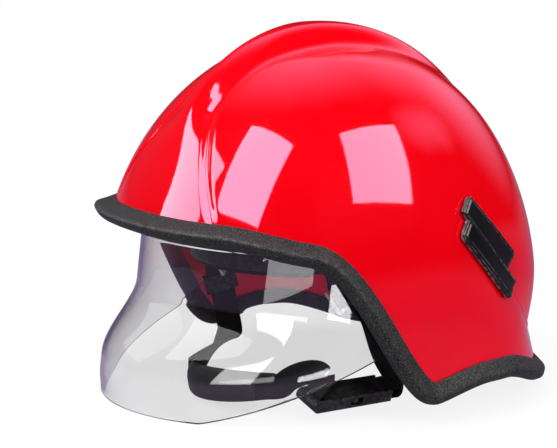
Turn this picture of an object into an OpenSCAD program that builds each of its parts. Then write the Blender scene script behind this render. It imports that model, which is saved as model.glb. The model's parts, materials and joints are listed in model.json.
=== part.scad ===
// Fire helmet: front is -Y, the wearer's left is +X, up is +Z, and the helmet stands on z = 0.

/* [Shell] */
// Half of the shell's width at its belt line
half_w = 124; // [118:1:130]
// Length of the shell ahead of the ears
front_l = 157.2; // [152:0.2:164]
// Length of the shell behind the ears
rear_l = 136.4; // [132:0.2:144]
// Squareness of the shell's plan, where 2 is an ellipse
plan_n = 2.37; // [2.2:0.01:2.6]
// Height of the belt line, where the shell is widest
belt_z = 57.7; // [54:0.1:62]
// Height of the dome above the belt line
dome_h = 176; // [168:0.2:182]
// Wall of the shell
shell_t = 3; // [2.4:0.1:3.4]
// Height of the rim's edge at the brow
brow_z = 111.5; // [106:0.5:116]
// Height of the rim's edge below the ears
ear_z = 14; // [10:0.5:18]
// Height of the rim's edge at the nape
nape_z = 3.1; // [3.1:0.1:5]
// Rise of the rim behind the ears
ear_arch = 9.5; // [4:0.5:12]

/* [Crest, grooves and creases] */
// Height of the crest above the dome
crest_h = 9; // [4:0.5:12]
// Depth of the valley on each side of the crest
valley_d = 5; // [2:0.5:6]
// Width of the crest's flank
flank_w = 18; // [14:1:24]
// Depth of the two upright grooves of the front panel
groove_d = 2; // [1:0.1:3]
// Half of the width of a front groove
groove_w = 10; // [7:0.5:14]
// Height at which the side crease starts, above the ear
crease_top = 134; // [126:1:140]
// Height at which the crease runs round the back
crease_low = 42; // [38:1:50]
// Depth of the dent above the crease
crease_dent = 5; // [2:0.5:6]
// Flare of the neck skirt below the crease
skirt_kick = 5; // [2:0.5:6]

/* [Edge trim] */
// Height of the trim's outer lip above the rim's edge
trim_lip = 10.5; // [8:0.5:13]
// Thickness of the trim's rubber at its roll
trim_t = 3.3; // [2.5:0.1:3.6]
// Bulge of the trim's outer ridge
ridge = 2; // [0:0.5:3]
// Further bulge of the ridge over the brow
brow_flare = 6; // [0:0.5:8]

/* [Visor] */
// Height of the visor's pivots
pivot_z = 75; // [72:0.5:78]
// Thickness of the lens
visor_t = 2.5; // [2:0.1:3]
// Inward distance of the lens from the shell's belt line at the pivots
visor_side = 10.5; // [9:0.5:13]
// Distance of the lens's neck behind the shell's front
visor_back = 23.2; // [21.2:0.2:26.2]
// Height of the lens's upper edge at the front
visor_top = 103; // [99:0.5:105]
// Forward bulge of the lens's lower half
bulge = 23; // [16:0.5:24]
// Radius of the lens's round end at a pivot
hub_r = 12; // [11:0.5:13]
// Radius of a pivot screw's shoulder
pin_r = 4; // [3:0.1:5]

/* [Liner] */
// Inward offset of the liner where the visor swings in front of it
visor_gap = 20; // [19:0.5:22]
// Inward offset of the liner's inner face
liner_in = 28; // [27:0.5:28]

/* [Headband] */
// Inward distance of the headband from the shell's belt line at the ears
band_side = 42; // [41:0.5:46]
// Distance of the headband's front behind the shell's front, less the centre's shift
band_back = 36.2; // [33.2:0.2:41.2]
// Distance of the band's centre behind the pivots
band_y = 20; // [16:1:22]
// Height of the band's middle at the brow
band_z = 99; // [96:1:101]
// Height of the band's middle at the nape
nape_band_z = 72; // [70:1:74]
// Height of the headband
band_h = 26; // [22:1:28]
// Thickness of the headband and its tails
band_t = 2; // [1.6:0.1:2.4]
// Teeth on the pinion
pinion_teeth = 10; // [10:1:10]
// Radius of the ratchet knob
knob_r = 18; // [14:1:20]

/* [Chin strap] */
// Width of the webbing
web_w = 18; // [15:1:20]
// Thickness of the webbing
web_t = 1.6; // [1.2:0.1:2]
// Width of the buckle
buckle_w = 20; // [19:0.5:22]
// Thickness of the buckle
buckle_t = 8; // [7:0.5:9]
// Length of the buckle's socket
socket_l = 42; // [40:1:46]

/* [Clip plates] */
// Half of the width of a clip plate, one lobe
lobe_w = 12.5; // [9:0.5:14]
// Thickness of a clip plate
plate_t = 3.4; // [2.5:0.1:4.5]
// Radius of a clip plate's screws
plate_screw_r = 2; // [1.5:0.1:2.5]

/* [Hidden] */
visor_half_w = half_w - visor_side;
neck_l = front_l - visor_back;
band_r = half_w - band_side;
band_front = front_l - band_back;
seat = 0.3;
play = 0.1;
liner_gap = 0.9;
swing_gap = 1.2;

// Numbers of columns and rows in the moulded surfaces
shell_cols = 72;
shell_rows = 18;
visor_cols = 56;
visor_rows = 12;

// Forward shift of the shell with each millimetre of height
lean = 0.035;

// Vector and blending helpers
function unit(v) = v / norm(v);
function mix(a, b, t) = a * (1 - t) + b * t;
function clamp01(t) = min(1, max(0, t));
function smooth(a, b, x) =
    let (t = clamp01((x - a) / (b - a)))
    t * t * (3 - 2 * t);
function bezier(a, b, c, d, t) =
    a * pow(1 - t, 3) + b * 3 * t * pow(1 - t, 2) + c * 3 * t * t * (1 - t) + d * pow(t, 3);
function curve(a, b, c, d, steps, first = 0) =
    [for (i = [first : steps]) bezier(a, b, c, d, i / steps)];

// Rim height at an angle round the shell, 0 at the front and 180 at the nape
function rim_z(phi) =
    let (d = abs(phi), drop = 0.09 * smooth(26, 52, d) + 0.91 * smooth(47, 84, d))
    brow_z - (brow_z - ear_z) * drop - (ear_z - nape_z) * smooth(110, 168, d)
        + ear_arch * smooth(78, 104, d) * (1 - smooth(110, 137, d));

// Radius of the plan at an angle, offset inwards
function plan_r(phi, in) =
    let (length = (cos(phi) > 0 ? front_l : rear_l) - in)
    pow(pow(abs(sin(phi)) / (half_w - in), plan_n) + pow(abs(cos(phi)) / length, plan_n), -1 / plan_n);

// Height of the side crease at an angle
function crease_z(phi) =
    crease_low + (crease_top - crease_low) * pow(max(0, (137 - abs(phi)) / 44), 1.1);

// Radial offset of the dent above the crease and of the skirt below it
function skirt(phi, z) =
    let (
        zc = crease_z(phi),
        above = -crease_dent * pow(max(0, 1 - (z - zc) / 45), 1.5),
        below = -crease_dent + (crease_dent + skirt_kick) * (zc - z) / (zc - nape_z)
    )
    smooth(86, 118, abs(phi)) * (z > zc ? above : below);

// Distance from the middle plane to the groove and the crest's valley, at an angle seen from the side
function valley_x(psi) = psi < 48 ? 56 - 1.68 * (psi - 26) : 19 + 24 * smooth(60, 115, psi);

// Outward relief of the crest and its valleys
function relief(psi, x) =
    let (
        back = smooth(60, 78, psi),
        fade = 1 - smooth(56, 138, psi),
        top = crest_h * smooth(28, 66, psi) * fade,
        deep = (groove_d * smooth(24, 29, psi) * (1 - 0.6 * smooth(38, 54, psi)) * (1 - back)
            + valley_d * back) * fade,
        inner_w = mix(groove_w, flank_w, back),
        outer_w = mix(groove_w, 26, back),
        d = x - valley_x(psi)
    )
    d < 0
        ? top - (top + deep) * (1 - smooth(0, inner_w, -d))
        : -deep * (1 - smooth(0, outer_w, d));

// Point of the shell's surface, offset inwards, at an angle round it and an angle above the belt line
function skin(phi, lat, in, with_relief = 1) =
    let (
        up = lat > 0,
        z = belt_z + (up ? (dome_h - in) * sin(lat) : dome_h * lat * PI / 180),
        low = max(0, (belt_z - z) / belt_z),
        r = plan_r(phi, in) * (up ? cos(lat) : 1)
            + 2.4 * low * low * (1 - smooth(95, 140, abs(phi)))
            + with_relief * skirt(phi, z),
        x = r * sin(phi),
        y = -r * cos(phi) - lean * (z - belt_z),
        n = unit([x / pow(half_w, 2), y / pow(front_l, 2), up ? (z - belt_z) / pow(dome_h, 2) : 0])
    )
    [x, y, z] + with_relief * relief(atan2(z - belt_z, -y), abs(x)) * n;
function lat_of(z, in = 0) =
    z > belt_z ? asin(min(1, (z - belt_z) / (dome_h - in))) : (z - belt_z) / dome_h * 180 / PI;

// Closed solid between an outer and an inner grid of columns, open or closed round
module slab(outer, inner, round_it = false) {
    cols = len(outer);
    rows = len(outer[0]);
    half = cols * rows;
    last = round_it ? cols - 1 : cols - 2;
    function at(j, i) = (j % cols) * rows + i;
    points = [for (side = [outer, inner]) for (column = side) for (p = column) p];
    skins = [for (j = [0 : last]) for (i = [0 : rows - 2]) for (face = [
        [at(j, i), at(j, i + 1), at(j + 1, i + 1)],
        [at(j, i), at(j + 1, i + 1), at(j + 1, i)],
        [half + at(j, i), half + at(j + 1, i + 1), half + at(j, i + 1)],
        [half + at(j, i), half + at(j + 1, i), half + at(j + 1, i + 1)]
    ]) face];
    rims = [for (j = [0 : last]) for (face = [
        [at(j, 0), at(j + 1, 0), half + at(j + 1, 0)],
        [at(j, 0), half + at(j + 1, 0), half + at(j, 0)],
        [at(j, rows - 1), half + at(j + 1, rows - 1), at(j + 1, rows - 1)],
        [at(j, rows - 1), half + at(j, rows - 1), half + at(j + 1, rows - 1)]
    ]) face];
    ends = round_it ? [] : [for (i = [0 : rows - 2]) for (face = [
        [at(0, i), half + at(0, i + 1), at(0, i + 1)],
        [at(0, i), half + at(0, i), half + at(0, i + 1)],
        [at(cols - 1, i), at(cols - 1, i + 1), half + at(cols - 1, i + 1)],
        [at(cols - 1, i), half + at(cols - 1, i + 1), half + at(cols - 1, i)]
    ]) face];
    polyhedron(points, concat(skins, rims, ends), convexity = 8);
}

// Closed solid between two grids of columns that each end in a pole
module dome(outer, inner, outer_pole, inner_pole) {
    cols = len(outer);
    rows = len(outer[0]);
    half = cols * rows;
    function at(j, i) = (j % cols) * rows + i;
    points = concat(
        [for (side = [outer, inner]) for (column = side) for (p = column) p],
        [outer_pole, inner_pole]
    );
    skins = [for (j = [0 : cols - 1]) for (i = [0 : rows - 2]) for (face = [
        [at(j, i), at(j, i + 1), at(j + 1, i + 1)],
        [at(j, i), at(j + 1, i + 1), at(j + 1, i)],
        [half + at(j, i), half + at(j + 1, i + 1), half + at(j, i + 1)],
        [half + at(j, i), half + at(j + 1, i), half + at(j + 1, i + 1)]
    ]) face];
    caps = [for (j = [0 : cols - 1]) for (face = [
        [at(j, 0), at(j + 1, 0), half + at(j + 1, 0)],
        [at(j, 0), half + at(j + 1, 0), half + at(j, 0)],
        [at(j, rows - 1), 2 * half, at(j + 1, rows - 1)],
        [half + at(j, rows - 1), half + at(j + 1, rows - 1), 2 * half + 1]
    ]) face];
    polyhedron(points, concat(skins, caps), convexity = 8);
}

// Bar swept along sections that all have the same number of corners
module sweep(sections, round_it = false) {
    n = len(sections);
    k = len(sections[0]);
    last = round_it ? n - 1 : n - 2;
    function at(j, i) = (j % n) * k + i % k;
    sides = [for (j = [0 : last]) for (i = [0 : k - 1]) for (face = [
        [at(j, i), at(j, i + 1), at(j + 1, i + 1)],
        [at(j, i), at(j + 1, i + 1), at(j + 1, i)]
    ]) face];
    ends = round_it ? [] : [[for (i = [k - 1 : -1 : 0]) i], [for (i = [0 : k - 1]) at(n - 1, i)]];
    polyhedron([for (s = sections) for (p = s) p], concat(sides, ends), convexity = 8);
}

// Flat webbing along a path, with the direction of its width given at each share of the length
module webbing(path, width_at, wide = web_w, thick = web_t) {
    n = len(path);
    sweep([for (j = [0 : n - 1])
        let (
            along = unit(path[min(n - 1, j + 1)] - path[max(0, j - 1)]),
            raw = width_at(j / (n - 1)),
            across = unit(raw - along * (raw * along)),
            out = cross(along, across),
            p = path[j]
        )
        [
            p - across * wide / 2 - out * thick / 2,
            p - across * wide / 2 + out * thick / 2,
            p + across * wide / 2 + out * thick / 2,
            p + across * wide / 2 - out * thick / 2
        ]
    ]);
}

// Moulded shell with its four screw holes under the clip plates
module outer_shell() {
    function side(in) = [for (j = [0 : shell_cols - 1])
        let (phi = 360 * j / shell_cols - 180, start = lat_of(rim_z(phi)))
        [for (i = [0 : shell_rows - 1]) skin(phi, mix(start, 90, i / shell_rows), in)]
    ];
    color("red") difference() {
        dome(side(0), side(shell_t), skin(0, 90, 0), skin(0, 90, shell_t));
        plate_screw_places() cylinder(h = 12, r = plate_screw_r + play, center = true, $fn = 32);
    }
}

// Rubber channel over the shell's edge, cut flat where the helmet stands on it
module edge_trim() {
    half_t = shell_t / 2 + 0.42;
    function outline(bulge) = [
        [half_t, -trim_lip], [half_t + 0.9, -trim_lip - 0.4], [half_t + 2, -trim_lip + 0.4],
        [half_t + trim_t - 0.6 + 0.5 * bulge, -6.6], [half_t + trim_t + bulge, -2.8],
        [half_t + trim_t - 0.4 + 0.9 * bulge, -0.2], [half_t + 1.8 + 0.6 * bulge, 2.2],
        [1.2, 3.2], [-1.2, 3.2], [-half_t - 1.6, 2.2],
        [-half_t - trim_t + 0.8, 0], [-half_t - trim_t + 0.8, -3], [-half_t - 1.6, -7],
        [-half_t - 1, -8.6], [-half_t - 0.2, -8.4], [-half_t - 0.2, 0.4], [half_t, 0.4]
    ];
    function ring(phi) =
        let (
            section = outline(ridge + brow_flare * (1 - smooth(35, 75, abs(phi)))),
            lat = lat_of(rim_z(phi)),
            p = skin(phi, lat, shell_t / 2),
            before = skin(phi - 0.5, lat_of(rim_z(phi - 0.5)), shell_t / 2),
            after = skin(phi + 0.5, lat_of(rim_z(phi + 0.5)), shell_t / 2),
            along = unit(after - before),
            up = skin(phi, lat + 1, shell_t / 2) - p,
            out = unit(cross(along, up)),
            down = cross(along, out)
        )
        [for (k = [len(section) - 1 : -1 : 0])
            let (
                q = p + down * section[k][1],
                turn = atan2(q[0], -q[1] - lean * (q[2] - belt_z)),
                on = skin(turn, lat_of(q[2], shell_t / 2), shell_t / 2),
                bend = section[k][1] < 0 ? (on - q) * out : 0
            )
            q + out * (bend + section[k][0])];
    color("dimgray") difference() {
        sweep([for (j = [0 : shell_cols - 1]) ring(360 * j / shell_cols - 180)], true);
        translate([-200, -200, -20]) cube([400, 400, 20]);
    }
}

// Energy-absorbing liner, thin in front where the visor swings up before it and hollowed under the crest
function liner_edge(phi) = 118 - 22 * smooth(60, 160, abs(phi));
module impact_liner() {
    cols = 48;
    rows = 11;
    function gap_at(p) =
        mix(visor_gap, shell_t + liner_gap, smooth(46, 66, atan2(p[2] - pivot_z, -p[1])));
    function hollow(p) =
        let (psi = atan2(p[2] - belt_z, -p[1]), x = abs(p[0]))
        valley_d * smooth(45, 70, psi) * (1 - smooth(135, 165, psi))
            * (1 - smooth(10, 40, x - valley_x(psi)));
    function outer_pt(phi, lat) =
        let (
            far = skin(phi, lat, shell_t + liner_gap, 0),
            p = skin(phi, lat, gap_at(far) + hollow(far) - min(0, skirt(phi, far[2])), 0),
            arm = [-p[1], p[2] - pivot_z],
            k = sqrt(max(0.1, 1 - pow(p[0] / (visor_half_w - visor_t), 2))),
            limit = min(1, ((neck_l - visor_t + 2) * k - swing_gap) / norm(arm)),
            side = smooth(visor_half_w - 29.5, visor_half_w - 15.5, abs(p[0])),
            free = max(smooth(44, 62, atan2(arm[1], arm[0])), side),
            f = mix(limit, 1, free)
        )
        [p[0], -arm[0] * f, pivot_z + arm[1] * f];
    color("black") dome(
        [for (j = [0 : cols - 1]) let (phi = 360 * j / cols - 180)
            [for (i = [0 : rows - 1]) outer_pt(phi, mix(lat_of(liner_edge(phi)), 90, i / rows))]],
        [for (j = [0 : cols - 1]) let (phi = 360 * j / cols - 180)
            [for (i = [0 : rows - 1])
                skin(phi, mix(lat_of(liner_edge(phi), liner_in), 90, i / rows), liner_in, 0)]],
        skin(0, 90, shell_t + liner_gap + valley_d, 0),
        skin(0, 90, liner_in, 0)
    );
}

// Point and outward direction of the headband at an angle, 0 at the brow and 180 at the nape
function band_xy(q, out) =
    let (reach = abs(q) < 90 ? band_front : band_r)
    [(band_r + out) * sin(q), band_y - (reach + out) * cos(q)];
function band_turn(q) =
    let (reach = abs(q) < 90 ? band_front : band_r)
    atan2(-cos(q) / reach, sin(q) / band_r);
function band_along(q) = [-sin(band_turn(q)), cos(band_turn(q)), 0];
function band_mid(q) = mix(band_z, nape_band_z, smooth(60, 118, abs(q)));
function band_pt(q, out, dz) = [band_xy(q, out)[0], band_xy(q, out)[1], band_mid(q) + dz];

module headband() {
    cols = 48;
    reach = 150;
    function side(out) = [for (j = [0 : cols])
        let (q = mix(-reach, reach, j / cols))
        [for (v = [-0.5, 0.5]) band_pt(q, out, v * band_h)]
    ];
    color("black") slab(side(band_t), side(0));
}

// Clips on the liner's wall carry the headband below them and the cradle above them
clip_angles = [38, 75, 103, -38, -75, -103];
clip_h = 4;
function clip_phi(q) = let (p = band_xy(q, band_t)) atan2(p[0], -p[1]);
function clip_z(q) = max(liner_edge(clip_phi(q)) + 3, band_mid(q) + band_h / 2 + 1);
function wall_r(phi, z) = plan_r(phi, liner_in) * cos(lat_of(z, liner_in));
arm_w = 10;
function arm_reach(q) =
    min([for (c = [-1, 0, 1]) let (a = c * 3.4)
        wall_r(clip_phi(q) + a, clip_z(q) + clip_h) * cos(a)]) - 3 * seat;

// Webbing cradle: six legs from the clips to a ring at the crown
crown_z = 188;
crown_y = 5;
ring_r = 15;
module crown_straps() {
    module leg(q) {
        phi = clip_phi(q);
        z0 = clip_z(q) + clip_h + seat;
        r = wall_r(phi, z0) - web_t / 2 - 3.6;
        foot = [r * sin(phi), -r * cos(phi)];
        crown = [0, crown_y];
        last = acos(ring_r * 0.8 / norm(foot - crown));
        path = [for (i = [0 : 9])
            let (t = last * i / 9, xy = crown + (foot - crown) * cos(t))
            [xy[0], xy[1], z0 + (crown_z - z0) * pow(sin(t), 1.5)]];
        across = unit(cross([foot[0], foot[1] - crown_y, 0], [0, 0, 1]));
        webbing(path, function (s) across, 20);
    }
    color("black") {
        for (q = clip_angles) leg(q);
        translate([0, crown_y, crown_z - 1.6]) cylinder(h = 3, r = ring_r, $fn = 64);
    }
}

// Padded round cushion under the crossing of the cradle
module crown_pad() {
    pad_r = 34;
    rings = 7;
    function roof(r) = crown_z - 1.6 - seat - 20 + 20 * sqrt(1 - pow(r / 44, 2));
    function side(face) = [for (j = [0 : 23])
        [for (i = [0 : rings - 1])
            let (r = pad_r * (1 - i / rings), a = 15 * j, edge = 1 - pow(r / pad_r, 4))
            [r * sin(a), crown_y - r * cos(a), roof(r) - (face ? 1.4 - 1.4 * edge : 3 + 6 * edge)]]];
    color("dimgray") dome(side(true), side(false), [0, crown_y, roof(0)], [0, crown_y, roof(0) - 9]);
}

// Arms of the clips, from the headband's outer face to the liner's wall
module harness_clips() {
    plate = 1.5;
    color("dimgray") for (q = clip_angles) {
        p = band_xy(q, band_t + seat);
        length = arm_reach(q) - norm(p);
        low = band_mid(q) - 4;
        translate([p[0], p[1], low]) rotate([0, 0, band_turn(q)])
            translate([0, -6, 0]) cube([plate, 12, clip_z(q) + clip_h - low]);
        translate([p[0], p[1], clip_z(q)]) rotate([0, 0, clip_phi(q) - 90])
            translate([0, -arm_w / 2, 0]) cube([max(plate, length), arm_w, clip_h]);
    }
}

// Cushion along the headband's inner face between two angles, with a crowned face
module band_cushion(q1, q2, low, high, fat, cols = 14) {
    rows = 6;
    function grid(face) = [for (j = [0 : cols])
        let (s = j / cols, q = mix(q1, q2, s), end = pow(sin(180 * mix(0.06, 0.94, s)), 0.5))
        [for (i = [0 : rows])
            let (
                v = i / rows,
                crown = pow(sin(180 * mix(0.05, 0.95, v)), 0.5),
                z = mix(low(q), high(q), v)
            )
            [for (e = [face ? -seat : -seat - 1.2 - fat * crown * end])
                [band_xy(q, e)[0], band_xy(q, e)[1], z]][0]]];
    slab(grid(true), grid(false));
}

module brow_pad() {
    color("black") band_cushion(-48, 48,
        function (q) band_mid(q) - 17, function (q) band_mid(q) + 15, 6.5, 22);
}

// Lower outline of the left temple pad, pointed near its front end
tip_q = 57;
function temple_low(q) =
    let (a = abs(q))
    band_z - 35 + (a > tip_q ? 1.1 * (a - tip_q) : 2.6 * (tip_q - a));

module temple_pads() {
    color("black") for (s = [-1, 1])
        band_cushion(s > 0 ? 51 : -84, s > 0 ? 84 : -51,
            function (q) temple_low(q), function (q) band_mid(q) + 13, 4.5, 12);
}

// Silver cord sewn along the temple pads' lower edges
module pad_piping() {
    piping_r = 1.2;
    function piping_z(q) = temple_low(q) - (piping_r + seat) * (abs(q) < tip_q + 1 ? 2.3 : 1.4);
    color("silver") for (s = [-1, 1])
        sweep([for (j = [0 : 12])
            let (
                q = s * mix(52, 82, j / 12),
                q2 = s * mix(52, 82, (j + 0.1) / 12),
                c = band_xy(q, -2.4),
                c2 = band_xy(q2, -2.4),
                p = [c[0], c[1], piping_z(q)],
                along = unit([c2[0], c2[1], piping_z(q2)] - p),
                flat = unit(cross(along, [0, 0, 1])),
                up = cross(flat, along)
            )
            [for (k = [0 : 5]) p + piping_r * (flat * cos(60 * k) + up * sin(60 * k))]]);
}

// Arc of plate behind the band's centre, between two angles and two heights
module arc_plate(r1, r2, z1, z2, q1, q2) {
    translate([0, band_y, z1]) rotate([0, 0, q1 - 90])
        rotate_extrude(angle = q2 - q1, $fn = 180) translate([r1, 0]) square([r2 - r1, z2 - z1]);
}

// The sliding tails, their racks and the pinion share one pitch
module_size = 1;
pitch_r = pinion_teeth * module_size / 2;
tail_in = band_r + band_t + seat;
tail_out = tail_in + band_t;
tooth_step = module_size * PI / ((tail_in + tail_out) / 2) * 180 / PI;
tail_half_h = 9;

// Rack tooth with its tip at the origin's side, standing on a line above it
module rack_tooth() {
    rotate([90, 0, 0]) linear_extrude(height = band_t - 3 * play, center = true)
        polygon([
            [-0.35, -0.85], [0.35, -0.85], [0.95, 1.2],
            [0.95, 2], [-0.95, 2], [-0.95, 1.2]
        ] * module_size);
}

module band_tail() {
    strip_end = 188;
    wide_end = 158;
    root = pitch_r + 1.1 * module_size;
    difference() {
        arc_plate(tail_in, tail_out, nape_band_z - tail_half_h, nape_band_z + tail_half_h, 118, strip_end);
        arc_plate(tail_in - 1, tail_out + 1, nape_band_z - 2 * tail_half_h, nape_band_z + root,
            wide_end, strip_end + 2);
    }
    for (k = [-8 : 3]) {
        translate([0, band_y, nape_band_z + pitch_r]) rotate([0, 0, (k + 0.5) * tooth_step])
            translate([0, (tail_in + tail_out) / 2, 0]) rack_tooth();
    }
}

module band_tail_left() {
    color("dimgray") band_tail();
}

module band_tail_right() {
    color("dimgray") translate([0, 0, 2 * nape_band_z]) rotate([0, 180, 0]) band_tail();
}

// Loops on the headband in which the tails slide
module tail_guides() {
    wall = 1.6;
    z1 = nape_band_z - tail_half_h - seat;
    z2 = nape_band_z + tail_half_h + seat;
    color("black") for (q = [134, -141]) difference() {
        arc_plate(tail_in - 0.15, tail_out + wall + play, z1 - wall, z2 + wall, q, q + 7);
        arc_plate(tail_in - 1, tail_out + play, z1, z2, q - 1, q + 8);
    }
}

// Curved case at the nape, open at both ends for the tails
housing_half = 24;
housing_in = tail_in - seat - 2;
housing_out = tail_out + seat + 2;
boss_y = band_y + housing_out + 1;
shaft_r = 2.5;
module nape_housing() {
    z1 = nape_band_z - tail_half_h - 3;
    z2 = nape_band_z + tail_half_h + 3;
    color("black") difference() {
        union() {
            arc_plate(housing_in, housing_out, z1, z2, 180 - housing_half, 180 + housing_half);
            translate([0, boss_y - 2.6, nape_band_z]) rotate([-90, 0, 0])
                cylinder(h = 2.6, r = knob_r - 3, $fn = 64);
        }
        arc_plate(tail_in - seat, tail_out + seat, z1 + 2, z2 - 2, 150, 210);
        translate([0, boss_y - 20, nape_band_z]) rotate([-90, 0, 0])
            cylinder(h = 30, r = shaft_r + play, $fn = 48);
    }
}

// Cushion on the nape housing's inner face
module nape_pad() {
    cols = 12;
    rows = 6;
    function grid(face) = [for (j = [0 : cols])
        let (s = j / cols, q = mix(152, 208, s), end = pow(sin(180 * mix(0.06, 0.94, s)), 0.5))
        [for (i = [0 : rows])
            let (
                v = i / rows,
                crown = pow(sin(180 * mix(0.05, 0.95, v)), 0.5),
                r = housing_in - seat - (face ? 0 : 1.5 + 6 * crown * end)
            )
            [r * sin(q), band_y - r * cos(q), nape_band_z + mix(-15, 15, v)]]];
    color("dimgray") slab(grid(true), grid(false));
}

// Gear that draws both racks, with its shaft to the knob
knob_l = 10;
module pinion() {
    color("silver") translate([0, band_y, nape_band_z]) rotate([-90, 0, 0]) {
        translate([0, 0, tail_in - 0.1]) linear_extrude(height = band_t) union() {
            circle(r = pitch_r - 1.2 * module_size, $fn = 48);
            for (k = [0 : pinion_teeth - 1]) rotate(360 * k / pinion_teeth + 90)
                polygon([[2, -1.2], [pitch_r, -0.72], [pitch_r + 0.85, -0.3],
                    [pitch_r + 0.85, 0.3], [pitch_r, 0.72], [2, 1.2]] * module_size);
        }
        difference() {
            translate([0, 0, tail_in - 0.2]) cylinder(h = housing_out - tail_in + 8, r = shaft_r, $fn = 48);
            translate([0, 0, housing_out + 1]) cylinder(h = 10, r = 1.25, $fn = 32);
        }
    }
}

module ratchet_knob() {
    color("dimgray") translate([0, boss_y + seat, nape_band_z]) rotate([-90, 0, 0]) difference() {
        union() {
            cylinder(h = knob_l, r = knob_r - 1.5, $fn = 96);
            for (k = [0 : 11]) rotate(30 * k) translate([knob_r - 2, 0, 0])
                cylinder(h = knob_l, r = 2, $fn = 32);
        }
        translate([0, 0, -1]) cylinder(h = 8, r = shaft_r + 0.02, $fn = 48);
        translate([0, 0, -1]) cylinder(h = knob_l + 2, r = 1.4, $fn = 32);
        translate([0, 0, knob_l - 2]) cylinder(h = 3, r = 3.6, $fn = 48);
    }
}

module knob_screw() {
    color("silver") translate([0, boss_y + seat, nape_band_z]) rotate([-90, 0, 0]) difference() {
        union() {
            translate([0, 0, 2]) cylinder(h = knob_l - 3.9, r = 1.2, $fn = 32);
            translate([0, 0, knob_l - 1.95]) cylinder(h = 1.9, r = 3.4, $fn = 48);
        }
        translate([0, 0, knob_l]) cube([4.4, 0.9, 1.6], center = true);
        translate([0, 0, knob_l]) cube([0.9, 4.4, 1.6], center = true);
    }
}

// Visor lens: elliptical in plan, straight at the neck and bulged below, with a round end at each pivot
function visor_low(phi) = 63 * pow(max(0, (abs(phi) - 22) / 68), 1.1);
function visor_reach(z, phi) =
    neck_l + 0.1 * (visor_top - z)
    + (bulge * smooth(68, 24, z) - 2 * smooth(14, 0, z)) * (1 - smooth(62, 84, abs(phi)));
function visor_pt(phi, v, in) =
    let (
        flat_y = (visor_half_w - visor_t) * sin(abs(phi) - 90),
        cap = sqrt(max(0, hub_r * hub_r - flat_y * flat_y)),
        low = abs(phi) > 90 ? pivot_z - cap : visor_low(phi) * (pivot_z - hub_r) / 63,
        high = abs(phi) > 90 ? pivot_z + cap : mix(visor_top, pivot_z + hub_r, smooth(30, 80, abs(phi))),
        z = mix(low, high, v),
        b = visor_reach(z, phi) - in,
        a = visor_half_w - in,
        r = 1 / sqrt(pow(sin(phi) / a, 2) + pow(cos(phi) / b, 2))
    )
    [r * sin(phi), -r * cos(phi), z];

module visor_lens() {
    reach = 90 + asin(hub_r * 0.985 / (visor_half_w - visor_t));
    function side(in) = [for (j = [0 : visor_cols])
        let (phi = mix(-reach, reach, j / visor_cols))
        [for (i = [0 : visor_rows]) visor_pt(phi, i / visor_rows, in)]
    ];
    color("lightgray", 0.5) difference() {
        slab(side(0), side(visor_t));
        for (s = [-1, 1]) translate([s * visor_half_w, 0, pivot_z]) rotate([0, 90, 0])
            cylinder(h = 12, r = bush_r + play, center = true, $fn = 48);
    }
}

// Pivot parts are laid out along +X from the middle plane, and mirrored for the right side
bush_r = pin_r + 2;
module both_sides() {
    children();
    mirror([1, 0, 0]) children();
}
module along_x(x) {
    translate([x, 0, pivot_z]) rotate([0, 90, 0]) children();
}

module visor_bushes() {
    flange = 0.8;
    color("black") both_sides() difference() {
        union() {
            along_x(visor_half_w - visor_t - flange - 0.5)
                cylinder(h = visor_t + flange + 0.9, r = bush_r, $fn = 64);
            along_x(visor_half_w - visor_t - flange - 0.5) cylinder(h = flange, r = bush_r + 3, $fn = 64);
        }
        along_x(visor_half_w - 8) cylinder(h = 16, r = pin_r + 0.05, $fn = 64);
    }
}

plate_x = visor_half_w + 1.1;
module pivot_plates() {
    shell_gap = (half_w - shell_t) * cos(lat_of(pivot_z + hub_r + 2, shell_t)) - plate_x - seat;
    color("dimgray") both_sides() difference() {
        along_x(plate_x) cylinder(h = shell_gap, r = hub_r + 2, $fn = 96);
        along_x(plate_x - 1) cylinder(h = shell_gap, r = pin_r - 1 + play, $fn = 48);
    }
}

module friction_washers() {
    color("silver") both_sides() difference() {
        along_x(visor_half_w + 0.45) cylinder(h = 0.6, r = bush_r + 2, $fn = 64);
        along_x(visor_half_w) cylinder(h = 2, r = pin_r + play, $fn = 64);
    }
}

module pivot_screws() {
    head_x = visor_half_w - visor_t - 1.4;
    color("silver") both_sides() difference() {
        union() {
            along_x(head_x - 2.4) cylinder(h = 2.4, r = pin_r + 3.5, $fn = 64);
            along_x(head_x - 1) cylinder(h = plate_x - head_x + 0.95, r = pin_r, $fn = 64);
            along_x(plate_x - 1) cylinder(h = 3.6, r = pin_r - 1, $fn = 48);
        }
        along_x(head_x - 3.4) cylinder(h = 2.4, r = 2.5, $fn = 6);
    }
}

// Clip plates folded along the side creases: a point at a share of the length and a distance across
plate_gap = 1.3;
plate_phi1 = 97;
plate_phi2 = 118;
function plate_pt(s, v, out) =
    let (
        slant = v > 0 ? mix(0, 0.78, s) : mix(0.16, 1, s),
        phi = mix(plate_phi1, plate_phi2, slant),
        z = crease_z(phi) + 0.72 * v,
        turn = phi + 0.72 * v / half_w * 180 / PI
    )
    skin(turn, lat_of(z), -out);

module bracket_left() {
    steps = 9;
    rows = [-1, -0.86, -0.5, -0.07, 0.07, 0.5, 0.86, 1];
    function edge(s, v) = min(1, min(s, 1 - s) * 9, (1 - abs(v)) * 7);
    function side(face) = [for (j = [0 : steps])
        [for (v = rows)
            let (s = j < 1 ? 0 : j == 1 ? 0.06 : j == steps - 1 ? 0.94 : j / steps)
            plate_pt(s, v * lobe_w, plate_gap + (face ? plate_t * mix(0.55, 1, edge(s, v)) : 0))]];
    color("black") difference() {
        slab(side(true), side(false));
        plate_screw_places()
            cylinder(h = 2 * plate_t - 1.2, r = plate_screw_r + play, center = true, $fn = 32);
    }
}

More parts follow.
